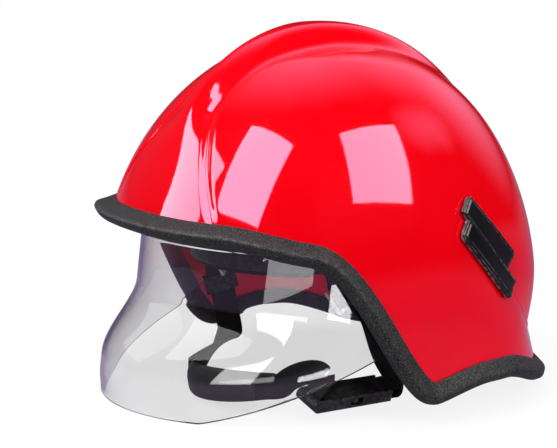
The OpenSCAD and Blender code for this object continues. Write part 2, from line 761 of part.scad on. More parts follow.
module bracket_right() {
    mirror([1, 0, 0]) bracket_left();
}

// Puts a child at each of the four plate screws, with +Z along the shell's outward normal
module plate_screw_places() {
    for (side = [-1, 1]) for (place = [[0.3, -6.5], [0.78, -6.5]]) {
        p = plate_pt(place[0], place[1], 0);
        n = unit(plate_pt(place[0], place[1], 1) - p);
        translate([side * p[0], p[1], p[2]]) rotate([0, acos(n[2]), atan2(n[1], side * n[0])]) children();
    }
}

module bracket_screws() {
    color("silver") plate_screw_places() {
        translate([0, 0, -shell_t - 1.7]) cylinder(h = shell_t + 3.5, r = plate_screw_r, $fn = 32);
        translate([0, 0, -shell_t - 3.6]) cylinder(h = 2, r = plate_screw_r + 1.6, $fn = 48);
    }
}

module bracket_washers() {
    color("silver") plate_screw_places() translate([0, 0, -shell_t - 1.5]) difference() {
        cylinder(h = 0.6, r = plate_screw_r + 3, $fn = 48);
        translate([0, 0, -1]) cylinder(h = 3, r = plate_screw_r + play, $fn = 32);
    }
}

// Chin strap: clips on the headband, webbing, cup and buckle
clip_q = 56;
strap_clip_t = 1.6;
module at_strap_clip(s, z) {
    p = band_xy(s * clip_q, band_t + seat);
    translate([p[0], p[1], z]) rotate([0, 0, band_turn(s * clip_q)]) children();
}

module strap_clips() {
    color("black") for (s = [-1, 1]) at_strap_clip(s, band_z - 9)
        translate([0, -10, 0]) cube([strap_clip_t, 20, 18]);
}

module clip_rivets() {
    color("silver") for (s = [-1, 1]) for (dz = [-5, 5]) at_strap_clip(s, band_z + dz)
        translate([strap_clip_t + 2 * seat + web_t + play, 0, 0]) rotate([0, 90, 0])
            cylinder(h = 1, r = 2.5, $fn = 32);
}

strap_out = band_t + 2 * seat + strap_clip_t + web_t / 2;
strap_top = band_pt(clip_q, strap_out, 9);
strap_hang = strap_top - [0, 0, 17];
function flip(p) = [-p[0], p[1], p[2]];

// Cup for the chin, a bent shield that the slack strap leaves towards the wearer's left
cup_r = 46;
cup_mid = [20, -72, 13.5];
cup_turn = 6;
cup_half = 66;
cup_rise = 0.1;
function cup_pt(a, in, dz) =
    let (x = (cup_r - in) * sin(a + cup_turn))
    cup_mid + [x, -(cup_r - in) * cos(a + cup_turn), dz + cup_rise * x];
function cup_along(a) = [cos(a + cup_turn), sin(a + cup_turn), 0];

right_turn = [-80, -28, 22];
right_end = cup_pt(9 - cup_half, -web_t / 2 - seat, 0);
right_path = concat(
    [for (k = [0 : 2]) flip(mix(strap_top, strap_hang, k / 3))],
    curve(flip(strap_hang), flip(strap_hang) + [0, 0, -16], right_turn + [-5, -6, 30], right_turn, 8),
    curve(right_turn, right_turn + [2, 4, -12], right_end - 34 * cup_along(9 - cup_half), right_end, 12, 1)
);
far_across = [0.3, 0.95, 0];
module chin_strap_right() {
    function width_at(s) =
        s < 0.42 ? mix(flip(band_along(clip_q)), far_across, smooth(0.16, 0.34, s))
        : mix(far_across, [0, 0, 1], smooth(0.48, 1, s));
    color("black") webbing(right_path, function (s) width_at(s));
}

// Local frame of the buckle: X across it, Y along it from its front to its back, Z through it
buckle_x = 83;
buckle_z = 13;
buckle_back = -20;
buckle_lean = 15;
module at_buckle() {
    translate([buckle_x, buckle_back, buckle_z]) rotate([0, buckle_lean, 0]) children();
}
across_buckle = [cos(buckle_lean), 0, -sin(buckle_lean)];
function buckle_pt(y, z) =
    [buckle_x + z * sin(buckle_lean), buckle_back + y, buckle_z + z * cos(buckle_lean)];

// The near strap wraps the socket's rear bar from below, and its free end comes back above it
bar_l = 4;
bar_half = 1.8;
wrap_r = bar_half + seat + web_t / 2;
left_knee = [89, -32, 52];
left_path = concat(
    [for (k = [0 : 2]) mix(strap_top, strap_hang, k / 3)],
    curve(strap_hang, strap_hang + [0, 0, -16], left_knee + [-2, -6, 24], left_knee, 7),
    curve(left_knee, left_knee + [3, 9, -28], buckle_pt(19, -wrap_r - 2), buckle_pt(1, -wrap_r), 12, 1),
    [for (a = [0 : 30 : 180]) buckle_pt(-bar_l - wrap_r * sin(a), -wrap_r * cos(a))],
    [buckle_pt(0, wrap_r), buckle_pt(4, wrap_r + 0.4), buckle_pt(8, wrap_r + 1.6)]
);
module chin_strap_left() {
    color("black") webbing(left_path,
        function (s) mix(band_along(clip_q), across_buckle, smooth(0.28, 0.66, s)), web_w - 2);
}

cavity_w = buckle_w - 3.6;
cavity_t = buckle_t - 3;
mouth_y = -socket_l;
module buckle_socket() {
    slot_w = web_w - 1;
    slot_l = bar_l + wrap_r + web_t / 2 + seat;
    color("black") at_buckle() {
        difference() {
            translate([0, -socket_l / 2, 0]) cube([buckle_w, socket_l, buckle_t], center = true);
            translate([0, mouth_y + 11, 0]) cube([cavity_w, 24, cavity_t], center = true);
            translate([0, mouth_y + 14, 0]) cube([buckle_w + 2, 9, cavity_t - 0.6], center = true);
            translate([-slot_w / 2, -slot_l, -buckle_t]) cube([slot_w, slot_l + 1, 2 * buckle_t]);
        }
        translate([-slot_w / 2 - 0.5, -bar_l, -bar_half]) cube([slot_w + 1, bar_l, 2 * bar_half]);
    }
}

tongue_l = 19;
tongue_slot_y = mouth_y - tongue_l + 6.5;
prong_x = 5.6;
prong_l = 18;
root_r = 1.6;
module buckle_tongue() {
    flat_l = tongue_l - buckle_t / 2;
    color("black") at_buckle() difference() {
        union() {
            translate([0, mouth_y - 0.2 - flat_l / 2, 0]) cube([buckle_w, flat_l, buckle_t], center = true);
            translate([0, mouth_y - 0.2 - flat_l, 0]) rotate([0, 90, 0])
                cylinder(h = buckle_w, r = buckle_t / 2, center = true, $fn = 64);
            translate([0, mouth_y + 5, 0]) cube([4, 12, cavity_t - 1], center = true);
        }
        for (s = [-1, 1]) translate([s * prong_x, mouth_y - 2, 0])
            cylinder(h = cavity_t - 0.6, r = root_r + 0.05, center = true, $fn = 32);
        for (s = [-1, 1]) translate([s * (prong_x + 0.2), mouth_y - 0.2, 0])
            cube([4.4, 4.4, cavity_t], center = true);
        translate([0, tongue_slot_y, 0]) cube([web_w - 1, 4, buckle_t + 2], center = true);
    }
}

// Prong with a round root in the tongue and a gently sloped catch in the socket's window
module prong(side) {
    barb = (buckle_w - cavity_w) / 2 - 0.8;
    reach = cavity_w / 2 - 0.4;
    color("black") at_buckle() mirror([side < 0 ? 1 : 0, 0, 0]) {
        translate([prong_x, mouth_y - 2, 0]) cylinder(h = cavity_t - 1, r = root_r, center = true, $fn = 32);
        linear_extrude(height = cavity_t - 1, center = true) polygon([
            [prong_x - 1, mouth_y - 2], [prong_x + 1, mouth_y - 2],
            [reach - 0.5, mouth_y + 8], [reach, mouth_y + 10.5],
            [reach + barb, mouth_y + 14], [reach + barb, mouth_y + 15.5],
            [reach - 0.6, mouth_y + prong_l], [reach - 2.6, mouth_y + prong_l],
            [reach - 2.6, mouth_y + 8]
        ]);
    }
}

module prong_outer() {
    prong(1);
}

module prong_inner() {
    prong(-1);
}

// Slack webbing from the cup's outer face, in an arch, down into the tongue's slot
module tongue_strap() {
    off = -web_t / 2 - seat;
    leave = cup_pt(cup_half, off, 0);
    slot_y = tongue_slot_y - 0.9;
    path = concat(
        [for (a = [46 : 5 : 56]) cup_pt(a, off, 0)],
        curve(leave, leave + [4, 8, 12], buckle_pt(slot_y + 17, 22), buckle_pt(slot_y, 5), 11),
        [buckle_pt(slot_y, 2), buckle_pt(slot_y, -2)]
    );
    color("black") webbing(path, function (s) mix([0, 0, 1], across_buckle, smooth(0.15, 0.7, s)), web_w - 3);
}

// Puts a child on a webbing path, with X through it, Y across it and Z along it
module on_strap(path, j, across) {
    along = unit(path[j + 1] - path[j - 1]);
    side = unit(across - along * (across * along));
    out = cross(side, along);
    m = [for (k = [0 : 2]) [out[k], side[k], along[k], path[j][k]]];
    multmatrix(concat(m, [[0, 0, 0, 1]])) children();
}

// Loop round the left strap for its free tail
module strap_keeper() {
    color("black") on_strap(left_path, 7, band_along(clip_q))
        difference() {
            cube([web_t + 2.6, web_w + 1, 7], center = true);
            cube([web_t + 1.2, web_w - 1, 9], center = true);
        }
}

// Three-bar slide on the far strap
module strap_slider() {
    color("black") on_strap(right_path, 8, far_across)
        difference() {
            cube([web_t + 3.4, web_w + 6, 14], center = true);
            cube([web_t + 1.4, web_w + 1, 16], center = true);
        }
}

// Curved shield of the cup and the crowned pad on its inner face
module chin_cup() {
    cols = 12;
    function side(in) = [for (j = [0 : cols])
        let (a = mix(-cup_half, cup_half, j / cols), tall = mix(7.4, 10.5, cos(a * 1.3)))
        [for (v = [-1, -0.5, 0, 0.5, 1]) cup_pt(a, in + 2.5 * v * v, tall * v)]];
    color("black") slab(side(0), side(2));
}

module chin_pad() {
    cols = 12;
    rows = 6;
    half = cup_half - 4;
    function grid(face) = [for (j = [0 : cols])
        let (s = j / cols, a = mix(-half, half, s), tall = mix(7, 9.5, cos(a * 1.3)),
            end = pow(sin(180 * mix(0.06, 0.94, s)), 0.5))
        [for (i = [0 : rows])
            let (v = 2 * i / rows - 1, crown = pow(cos(84 * v), 0.5))
            cup_pt(a, 2 + seat + 2.5 * v * v + (face ? 0 : 1 + 5 * crown * end), tall * v)]];
    color("dimgray") slab(grid(true), grid(false));
}

outer_shell();
edge_trim();
impact_liner();
crown_straps();
crown_pad();
harness_clips();
headband();
brow_pad();
temple_pads();
pad_piping();
tail_guides();
band_tail_left();
band_tail_right();
nape_housing();
nape_pad();
pinion();
ratchet_knob();
knob_screw();
visor_lens();
visor_bushes();
pivot_plates();
friction_washers();
pivot_screws();
bracket_left();
bracket_right();
bracket_screws();
bracket_washers();
strap_clips();
clip_rivets();
chin_strap_right();
chin_strap_left();
strap_slider();
chin_cup();
chin_pad();
buckle_socket();
buckle_tongue();
prong_outer();
prong_inner();
tongue_strap();
strap_keeper();
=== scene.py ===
"""Fire helmet: finished surfaces, soft goods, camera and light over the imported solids."""

import json
import math

import bmesh
import bpy
from mathutils import Matrix, Vector
from mathutils.bvhtree import BVHTree

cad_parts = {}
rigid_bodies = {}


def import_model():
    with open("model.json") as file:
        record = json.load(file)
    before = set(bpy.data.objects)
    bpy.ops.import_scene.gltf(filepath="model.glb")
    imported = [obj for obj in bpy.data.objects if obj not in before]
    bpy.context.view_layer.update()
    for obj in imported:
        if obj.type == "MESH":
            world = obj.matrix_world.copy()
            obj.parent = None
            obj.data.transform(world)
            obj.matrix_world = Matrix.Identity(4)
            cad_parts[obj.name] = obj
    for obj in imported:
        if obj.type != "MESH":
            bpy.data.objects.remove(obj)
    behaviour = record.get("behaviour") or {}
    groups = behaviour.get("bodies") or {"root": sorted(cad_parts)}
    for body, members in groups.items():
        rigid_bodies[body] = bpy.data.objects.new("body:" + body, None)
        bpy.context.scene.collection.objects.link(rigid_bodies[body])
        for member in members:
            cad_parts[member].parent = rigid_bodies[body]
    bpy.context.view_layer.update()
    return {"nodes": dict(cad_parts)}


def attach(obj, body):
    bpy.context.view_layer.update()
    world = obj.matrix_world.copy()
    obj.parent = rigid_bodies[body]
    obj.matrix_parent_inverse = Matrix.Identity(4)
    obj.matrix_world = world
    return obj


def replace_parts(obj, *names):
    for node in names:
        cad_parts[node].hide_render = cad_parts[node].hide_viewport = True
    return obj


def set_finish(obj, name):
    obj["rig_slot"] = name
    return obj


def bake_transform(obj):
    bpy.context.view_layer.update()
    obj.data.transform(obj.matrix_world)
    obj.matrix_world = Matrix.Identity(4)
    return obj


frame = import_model()

# Sizes in millimetres, as in the part's source, but with a narrower groove
HALF_W, FRONT_L, REAR_L, PLAN_N = 124.0, 157.2, 136.4, 2.37
BELT_Z, DOME_H, SHELL_T, LEAN = 57.7, 176.0, 3.0, 0.035
BROW_Z, EAR_Z, NAPE_Z, EAR_ARCH = 111.5, 14.0, 3.1, 9.5
CREST_H, VALLEY_D, FLANK_W, GROOVE_D, GROOVE_W = 9.0, 5.0, 18.0, 2.0, 6.0
CREASE_TOP, CREASE_LOW, CREASE_DENT, SKIRT_KICK = 134.0, 42.0, 5.0, 5.0
TRIM_LIP, TRIM_T, RIDGE, BROW_FLARE = 10.5, 3.3, 2.0, 6.0
PIVOT_Z, LENS_T, LENS_HALF_W, NECK_L, LENS_TOP, BULGE, HUB_R = 75.0, 2.5, 113.5, 134.0, 103.0, 23.0, 12.0
LINER_IN, LINER_GAP, VISOR_GAP, SWING_GAP = 28.0, 0.9, 20.0, 1.2
BAND_R, BAND_FRONT, BAND_Y, BAND_Z, NAPE_BAND_Z, BAND_H, BAND_T = 82.0, 121.0, 20.0, 99.0, 72.0, 26.0, 2.0
WEB_W, WEB_T, SEAT = 18.0, 1.6, 0.3
LOBE_W, PLATE_L, PLATE_T, PLATE_GAP = 12.5, 52.0, 3.4, 1.3
KNOB_R, KNOB_L, KNOB_Y = 18.0, 10.0, 109.9
CLIP_ANGLES = (38, 75, 103, -38, -75, -103)
CLIP_H, CROWN_Z, CROWN_Y, RING_R = 4, 188, 5, 15

# Sizes that only the scene has, in millimetres, and how the pads are swollen
BEAD_H, BEAD_W, FOLD_H, FOLD_W = 0.7, 1.3, 0.6, 0.8
VOXEL, REST_H, SEAM_IN, PAD_PITCH, BOX_PITCH = 1.9, 0.5, 2.6, 3.4, 2.2
PRESSURE, CLOTH_FRAMES = 4.0, 20
STITCH_L, THREAD_W, THREAD_UP = 2.3, 0.7, 0.05
MM = 0.001


# Blending helpers

def mix(a, b, t):
    return a * (1 - t) + b * t


def smooth(a, b, x):
    t = min(1.0, max(0.0, (x - a) / (b - a)))
    return t * t * (3 - 2 * t)


def bezier(a, b, c, d, t):
    return a * (1 - t) ** 3 + b * 3 * t * (1 - t) ** 2 + c * 3 * t * t * (1 - t) + d * t ** 3


def curve(a, b, c, d, count, first=0):
    return [bezier(Vector(a), Vector(b), Vector(c), Vector(d), i / count) for i in range(first, count + 1)]


def parts_of(count):
    """From 0 to 1 in equal steps."""
    return [i / count for i in range(count + 1)]


def sin_d(a):
    return math.sin(math.radians(a))


def cos_d(a):
    return math.cos(math.radians(a))


def atan2_d(y, x):
    return math.degrees(math.atan2(y, x))


def unit(v):
    return Vector(v).normalized()


def around(angle, r, y=0.0, z=0.0):
    """Point on a level circle: angle 0 is ahead of the helmet and 90 on the wearer's left."""
    return Vector((r * sin_d(angle), y - r * cos_d(angle), z))


def passed_through(points, steps):
    """Smooth run through points, with so many steps between each two."""
    run = []
    for j in range(len(points) - 1):
        a, b = points[max(0, j - 1)], points[j]
        c, d = points[j + 1], points[min(len(points) - 1, j + 2)]
        for i in range(steps):
            t = i / steps
            run.append(0.5 * (2 * b + (c - a) * t + (2 * a - 5 * b + 4 * c - d) * t * t
                              + (3 * b - a - 3 * c + d) * t ** 3))
    return run + [points[-1]]


# The shell's surface

def rim_z(phi):
    d = abs(phi)
    drop = 0.09 * smooth(26, 52, d) + 0.91 * smooth(47, 84, d)
    arch = EAR_ARCH * smooth(78, 104, d) * (1 - smooth(110, 137, d))
    return BROW_Z - (BROW_Z - EAR_Z) * drop - (EAR_Z - NAPE_Z) * smooth(110, 168, d) + arch


def plan_r(phi, inset):
    length = (FRONT_L if cos_d(phi) > 0 else REAR_L) - inset
    across, along = abs(sin_d(phi) / (HALF_W - inset)), abs(cos_d(phi) / length)
    return (across ** PLAN_N + along ** PLAN_N) ** (-1 / PLAN_N)


def crease_z(phi):
    return CREASE_LOW + (CREASE_TOP - CREASE_LOW) * max(0.0, (137 - abs(phi)) / 44) ** 1.1


def skirt(phi, z):
    """Dent above the side crease and flare below it, which meet in a small fillet with a bead on it."""
    fade = smooth(86, 118, abs(phi))
    if fade == 0:
        return 0.0
    zc, fillet = crease_z(phi), 0.55
    above = -CREASE_DENT * max(0.0, 1 - (z - zc) / 45) ** 1.5
    below = -CREASE_DENT + (CREASE_DENT + SKIRT_KICK) * (zc - z) / (zc - NAPE_Z)
    bead = BEAD_H * math.exp(-((z - zc) / BEAD_W) ** 2)
    return fade * (0.5 * (above + below + math.hypot(above - below, fillet)) - 0.25 * fillet + bead)


def valley_x(psi):
    return 56 - 1.68 * (psi - 26) if psi < 48 else 19 + 24 * smooth(60, 115, psi)


def relief(psi, x):
    """Crest, its valleys and the front grooves, outwards from the dome."""
    back = smooth(60, 78, psi)
    fade = 1 - smooth(56, 138, psi)
    top = CREST_H * smooth(28, 66, psi) * fade
    groove = GROOVE_D * smooth(24, 29, psi) * (1 - 0.6 * smooth(38, 54, psi)) * (1 - back)
    deep = (groove + VALLEY_D * back) * fade
    d = x - valley_x(psi)
    if d < 0:
        flank = mix(max(FLANK_W, valley_x(psi)), FLANK_W, smooth(44, 60, psi))
        return top * smooth(0, flank, -d) - deep * (1 - smooth(0, mix(GROOVE_W, FLANK_W, back), -d))
    return -deep * (1 - smooth(0, mix(GROOVE_W, 26, back), d))


def skin(phi, lat, inset, with_relief=1.0):
    """Point of the shell at an angle round it and an angle above its belt line, offset inwards."""
    up = lat > 0
    z = BELT_Z + ((DOME_H - inset) * sin_d(lat) if up else DOME_H * math.radians(lat))
    low = max(0.0, (BELT_Z - z) / BELT_Z)
    r = plan_r(phi, inset) * (cos_d(lat) if up else 1)
    r += 2.4 * low * low * (1 - smooth(95, 140, abs(phi))) + with_relief * skirt(phi, z)
    p = around(phi, r, -LEAN * (z - BELT_Z), z)
    if with_relief:
        n = unit((p.x / HALF_W ** 2, p.y / FRONT_L ** 2, (z - BELT_Z) / DOME_H ** 2 if up else 0))
        p += n * (with_relief * relief(atan2_d(z - BELT_Z, -p.y), abs(p.x)))
    return p


def lat_of(z, inset=0.0):
    if z > BELT_Z:
        return math.degrees(math.asin(min(1.0, (z - BELT_Z) / (DOME_H - inset))))
    return math.degrees((z - BELT_Z) / DOME_H)


def phi_of(p):
    return atan2_d(p.x, -p.y - LEAN * (p.z - BELT_Z))


# Mesh makers: points are given in millimetres, and every piece is made in place

def link(name, data):
    obj = bpy.data.objects.new(name, data)
    bpy.context.scene.collection.objects.link(obj)
    return obj


def settle(obj):
    """Gives an object the plain mesh that its modifiers make of it."""
    seen = obj.evaluated_get(bpy.context.evaluated_depsgraph_get())
    obj.data = bpy.data.meshes.new_from_object(seen)
    obj.modifiers.clear()


def shade(mesh, sharp=None):
    """Smooth shading, with the edges sharp that bend more than an angle."""
    for poly in mesh.polygons:
        poly.use_smooth = True
    if sharp:
        mesh.set_sharp_from_angle(angle=math.radians(sharp))


def solid(name, points, faces, slot, body="helmet", uv=None, sharp=None):
    """Closed piece with its faces turned outwards."""
    mesh = bpy.data.meshes.new(name)
    mesh.from_pydata([tuple(MM * c for c in p) for p in points], [], faces)
    if uv:
        layer = mesh.uv_layers.new(name="weave")
        for poly in mesh.polygons:
            for loop, corner in zip(poly.loop_indices, poly.vertices):
                layer.data[loop].uv = uv[corner]
    work = bmesh.new()
    work.from_mesh(mesh)
    bmesh.ops.remove_doubles(work, verts=work.verts, dist=1e-6)
    bmesh.ops.recalc_face_normals(work, faces=work.faces)
    work.to_mesh(mesh)
    work.free()
    shade(mesh, sharp)
    obj = link(name, mesh)
    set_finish(obj, slot)
    if body:
        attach(obj, body)
    return obj


def bowl(name, columns, outer_pole, inner_pole, slot, **more):
    """Closed wall of columns that each run from the outer pole over the rim to the inner pole."""
    rows, count = len(columns[0]), len(columns)
    points = [p for column in columns for p in column] + [outer_pole, inner_pole]
    faces = []
    for j in range(count):
        a, b = j * rows, (j + 1) % count * rows
        faces.append((a, b, count * rows))
        faces += [(a + i, a + i + 1, b + i + 1, b + i) for i in range(rows - 1)]
        faces.append((b + rows - 1, a + rows - 1, count * rows + 1))
    return solid(name, points, faces, slot, **more)


def hoop(a, b, k):
    """Faces between two closed rings of k points that start at points a and b."""
    return [(a + i, a + (i + 1) % k, b + (i + 1) % k, b + i) for i in range(k)]


def loft(name, rings, slot, closed=False, **more):
    """Skin over rings of points, with its ends capped unless the rings close round."""
    k, n = len(rings[0]), len(rings)
    faces = []
    for j in range(n if closed else n - 1):
        faces += hoop(j * k, (j + 1) % n * k, k)
    if not closed:
        faces += [tuple(range(k - 1, -1, -1)), tuple(range((n - 1) * k, n * k))]
    return solid(name, [p for ring in rings for p in ring], faces, slot, **more)


def wall(name, at, along, across, slot, **more):
    """Closed sheet: at(s, t, inner) gives its outer and its inner face."""
    k = 2 * len(across)
    last = (len(along) - 1) * k
    points, faces = [], []
    for s in along:
        points += [at(s, t, False) for t in across] + [at(s, t, True) for t in across[::-1]]
    for a in range(0, last, k):
        faces += hoop(a, a + k, k)
    for a in (0, last):
        faces += [(a + i, a + i + 1, a + k - 2 - i, a + k - 1 - i) for i in range(len(across) - 1)]
    return solid(name, points, faces, slot, **more)


def softened(node, width, body, slot):
    """Copy of a machined node with its sharp edges rounded, which stands for the node."""
    mesh = frame["nodes"][node].data.copy()
    work = bmesh.new()
    work.from_mesh(mesh)
    bmesh.ops.remove_doubles(work, verts=work.verts, dist=2e-6)
    bmesh.ops.dissolve_limit(work, angle_limit=math.radians(1.0), verts=work.verts, edges=work.edges)
    work.to_mesh(mesh)
    work.free()
    mesh.materials.clear()
    obj = link(node + "_moulded", mesh)
    bevel = obj.modifiers.new("rounded", "BEVEL")
    bevel.width, bevel.segments, bevel.use_clamp_overlap = MM * width, 3, True
    bevel.limit_method, bevel.angle_limit = "ANGLE", math.radians(38)
    settle(obj)
    shade(obj.data, 50)
    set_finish(obj, slot)
    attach(obj, body)
    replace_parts(obj, node)


# Shell, edge trim and liner

def shell_angles(count):
    """Angles of the shell's columns, closer together at the front grooves and at the side creases."""
    fine = []
    for a in (abs(k / 10) for k in range(-1800, 1800)):
        at_groove, at_crease = smooth(4, 10, a) * (1 - smooth(32, 40, a)), smooth(84, 90, a)
        fine.append(1 + 1.6 * at_groove + 0.5 * at_crease * (1 - smooth(128, 136, a)))
    total, gone, angles = sum(fine), 0.0, []
    for k, weight in enumerate(fine):
        while len(angles) < count and gone + weight > total * len(angles) / count:
            angles.append(-180 + (k + (total * len(angles) / count - gone) / weight) / 10)
        gone += weight
    return angles


def shell_heights(phi, start):
    """Angles above the belt line down a column, closer together where the side crease crosses it."""
    crease = lat_of(min(150.0, max(crease_z(phi), rim_z(phi) + 12)))
    step = math.degrees(1 / DOME_H)
    half = (9, 6.5, 4.6, 3.2, 2.2, 1.4, 0.7)
    near = [crease + k * 0.55 * step for k in half + (0,) + tuple(-k for k in half[::-1])]
    upper = [90 + (near[0] - 90) * i / 92 for i in range(1, 92)]
    lower = [mix(near[-1], start, i / 40) for i in range(1, 41)]
    return upper + near + lower


def make_shell():
    columns = []
    for phi in shell_angles(470):
        start = lat_of(rim_z(phi))
        outside = [skin(phi, lat, 0) for lat in shell_heights(phi, start)]
        columns.append(outside + [skin(phi, mix(start, 90, t), SHELL_T) for t in parts_of(26)[:-1]])
    shell = bowl("painted_shell", columns, skin(0, 90, 0), skin(0, 90, SHELL_T), "shell_paint")
    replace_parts(shell, "outer_shell")


def trim_outline(bulge):
    """Section of the rubber: outwards from the middle of the wall, and down from the rim's edge."""
    half = SHELL_T / 2 + 0.42
    drawn = [(half - 0.2, -TRIM_LIP), (half + 0.3, -TRIM_LIP - 0.4), (half + 1.2, -TRIM_LIP + 0.2),
             (half + TRIM_T - 0.9 + 0.45 * bulge, -6.6), (half + TRIM_T + bulge, -2.8),
             (half + TRIM_T - 0.4 + 0.9 * bulge, -0.2), (half + 1.8 + 0.6 * bulge, 2.2), (1.2, 3.2),
             (-1.2, 3.2), (-half - 1.6, 2.2), (-half - 2.5, 0), (-half - 2.5, -3), (-half - 1.6, -7),
             (-half - 1, -8.6), (-half - 0.2, -8.4)]
    run = passed_through([Vector(p) for p in drawn], 3)
    return [tuple(p) for p in run] + [(-half - 0.2, 0.4), (half, 0.4)]


def make_trim():
    def middle(phi, lat):
        return skin(phi, lat, SHELL_T / 2)
    rings, count = [], 480
    for j in range(count):
        phi = 360 * j / count - 180
        lat = lat_of(rim_z(phi))
        p = middle(phi, lat)
        ends = [middle(phi + d, lat_of(rim_z(phi + d))) for d in (-0.5, 0.5)]
        along = unit(ends[1] - ends[0])
        out = unit(along.cross(middle(phi, lat + 1) - p))
        down = along.cross(out)
        ring = []
        for reach, fall in trim_outline(RIDGE + BROW_FLARE * (1 - smooth(35, 75, abs(phi)))):
            q = p + down * fall
            bend = (middle(phi_of(q), lat_of(q.z, 1.5)) - q).dot(out) if fall < 0 else 0
            q = q + out * (bend + reach)
            q.z = max(q.z, 0.0)
            ring.append(q)
        rings.append(ring)
    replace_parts(loft("rubber_trim", rings, "trim_rubber", closed=True), "edge_trim")


def liner_edge(phi):
    return 118 - 22 * smooth(60, 160, abs(phi))


def liner_outer(phi, lat):
    """Outer face: close under the shell, but clear of the space that the visor swings through."""
    far = skin(phi, lat, SHELL_T + LINER_GAP, 0)
    gap = mix(VISOR_GAP, SHELL_T + LINER_GAP, smooth(46, 66, atan2_d(far.z - PIVOT_Z, -far.y)))
    psi = atan2_d(far.z - BELT_Z, -far.y)
    hollow = VALLEY_D * smooth(45, 70, psi) * (1 - smooth(135, 165, psi))
    hollow *= 1 - smooth(10, 40, abs(far.x) - valley_x(psi))
    p = skin(phi, lat, gap + hollow - min(0, skirt(phi, far.z)), 0)
    arm = (-p.y, p.z - PIVOT_Z)
    k = math.sqrt(max(0.1, 1 - (p.x / (LENS_HALF_W - LENS_T)) ** 2))
    limit = min(1, ((NECK_L - LENS_T + 2) * k - SWING_GAP) / math.hypot(*arm))
    free = max(smooth(44, 62, atan2_d(arm[1], arm[0])), smooth(84, 98, abs(p.x)))
    f = mix(limit, 1, free)
    return Vector((p.x, -arm[0] * f, PIVOT_Z + arm[1] * f))


def make_liner():
    columns = []
    for phi in range(-180, 180, 2):
        low_out, low_in = lat_of(liner_edge(phi)), lat_of(liner_edge(phi), LINER_IN)
        outer = [liner_outer(phi, mix(90, low_out, t)) for t in parts_of(36)[1:]]
        inner = [skin(phi, mix(low_in, 90, t), LINER_IN, 0) for t in parts_of(36)[:-1]]
        columns.append(outer + [mix(outer[-1], inner[0], t) for t in (0.08, 0.92)] + inner)
    poles = skin(0, 90, SHELL_T + LINER_GAP + VALLEY_D, 0), skin(0, 90, LINER_IN, 0)
    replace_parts(bowl("foam_liner", columns, *poles, "liner_foam", sharp=45), "impact_liner")


# Headband: its angles run round the band's own centre

def band_xy(q, out):
    reach = BAND_FRONT if abs(q) < 90 else BAND_R
    return Vector(((BAND_R + out) * sin_d(q), BAND_Y - (reach + out) * cos_d(q), 0))


def band_along(q):
    reach = BAND_FRONT if abs(q) < 90 else BAND_R
    turn = atan2_d(-cos_d(q) / reach, sin_d(q) / BAND_R)
    return Vector((-sin_d(turn), cos_d(turn), 0))


def band_mid(q):
    return mix(BAND_Z, NAPE_BAND_Z, smooth(60, 118, abs(q)))


def band_pt(q, out, dz):
    p = band_xy(q, out)
    p.z = band_mid(q) + dz
    return p


def make_headband():
    section = [(0.5, -0.5), (0, -0.47), (0, 0.47), (0.5, 0.5), (BAND_T - 0.5, 0.5),
               (BAND_T, 0.47), (BAND_T, 0), (BAND_T, -0.47), (BAND_T - 0.5, -0.5)]
    rings = [[band_pt(mix(-150, 150, t), out, v * BAND_H) for out, v in section] for t in parts_of(240)]
    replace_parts(loft("head_band", rings, "band_plastic", sharp=50), "headband")


# Webbing and the crown cradle

def ribbon(name, path, width_at, wide, node, body="helmet"):
    """Woven strap along a path, with rounded selvedges and the weave's own coordinates."""
    run = passed_through(path, 4)
    thick, r = WEB_T, 0.3 * WEB_T
    section = [(-0.5 * wide, 0), (-0.5 * wide + 0.25 * r, r - 0.5 * thick), (-0.5 * wide + r, -0.5 * thick)]
    section += [(s * wide, -0.5 * thick) for s in (-0.3, 0, 0.3)]
    section += [(0.5 * wide - r, -0.5 * thick), (0.5 * wide - 0.25 * r, r - 0.5 * thick), (0.5 * wide, 0)]
    section += [(x, -y) for x, y in section[-2:0:-1]]
    rings, uv, gone, frames = [], [], 0.0, []
    for j, p in enumerate(run):
        along = unit(run[min(len(run) - 1, j + 1)] - run[max(0, j - 1)])
        raw = Vector(width_at(j / (len(run) - 1)))
        across = unit(raw - along * raw.dot(along))
        out = along.cross(across)
        gone += (p - run[j - 1]).length if j else 0
        rings.append([p + across * x + out * y for x, y in section])
        uv += [(MM * x, MM * gone) for x, y in section]
        frames.append((gone, p, along, across, out))
    strap = loft(name, rings, "webbing", body=body, uv=uv)
    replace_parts(strap, node)
    return strap, frames


def clip_z(q):
    p = band_xy(q, BAND_T)
    return max(liner_edge(atan2_d(p.x, -p.y)) + 3, band_mid(q) + BAND_H / 2 + 1)


def cradle_leg(k, q):
    """One of the six legs, from its clip at the liner's edge up to the ring at the crown."""
    crown = Vector((0, CROWN_Y, 0))
    p = band_xy(q, BAND_T)
    phi, z0 = atan2_d(p.x, -p.y), clip_z(q) + CLIP_H + SEAT
    wall_r = plan_r(phi, LINER_IN) * cos_d(lat_of(z0, LINER_IN))
    foot = around(phi, wall_r - WEB_T / 2 - 3.6)
    last = math.acos(RING_R * 0.8 / (foot - crown).length)
    path = []
    for t in (last * i / 9 for i in range(10)):
        p = crown + (foot - crown) * math.cos(t)
        p.z = z0 + (CROWN_Z - z0) * math.sin(t) ** 1.5
        path.append(p)
    across = unit((foot - crown).cross(UP))
    ribbon(f"cradle_leg_{k + 1}", path, lambda s: across, 20, "crown_straps")


def make_crown_cradle():
    for k, q in enumerate(CLIP_ANGLES):
        cradle_leg(k, q)
    rings = []
    for height, r in ((-1.6, RING_R - 1), (-1.1, RING_R), (0.9, RING_R), (1.4, RING_R - 0.5)):
        z = CROWN_Z + height
        rings.append([Vector((r * sin_d(a), CROWN_Y + r * cos_d(a), z)) for a in range(0, 360, 6)])
    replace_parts(loft("cradle_boss", rings, "clip_plastic"), "crown_straps")


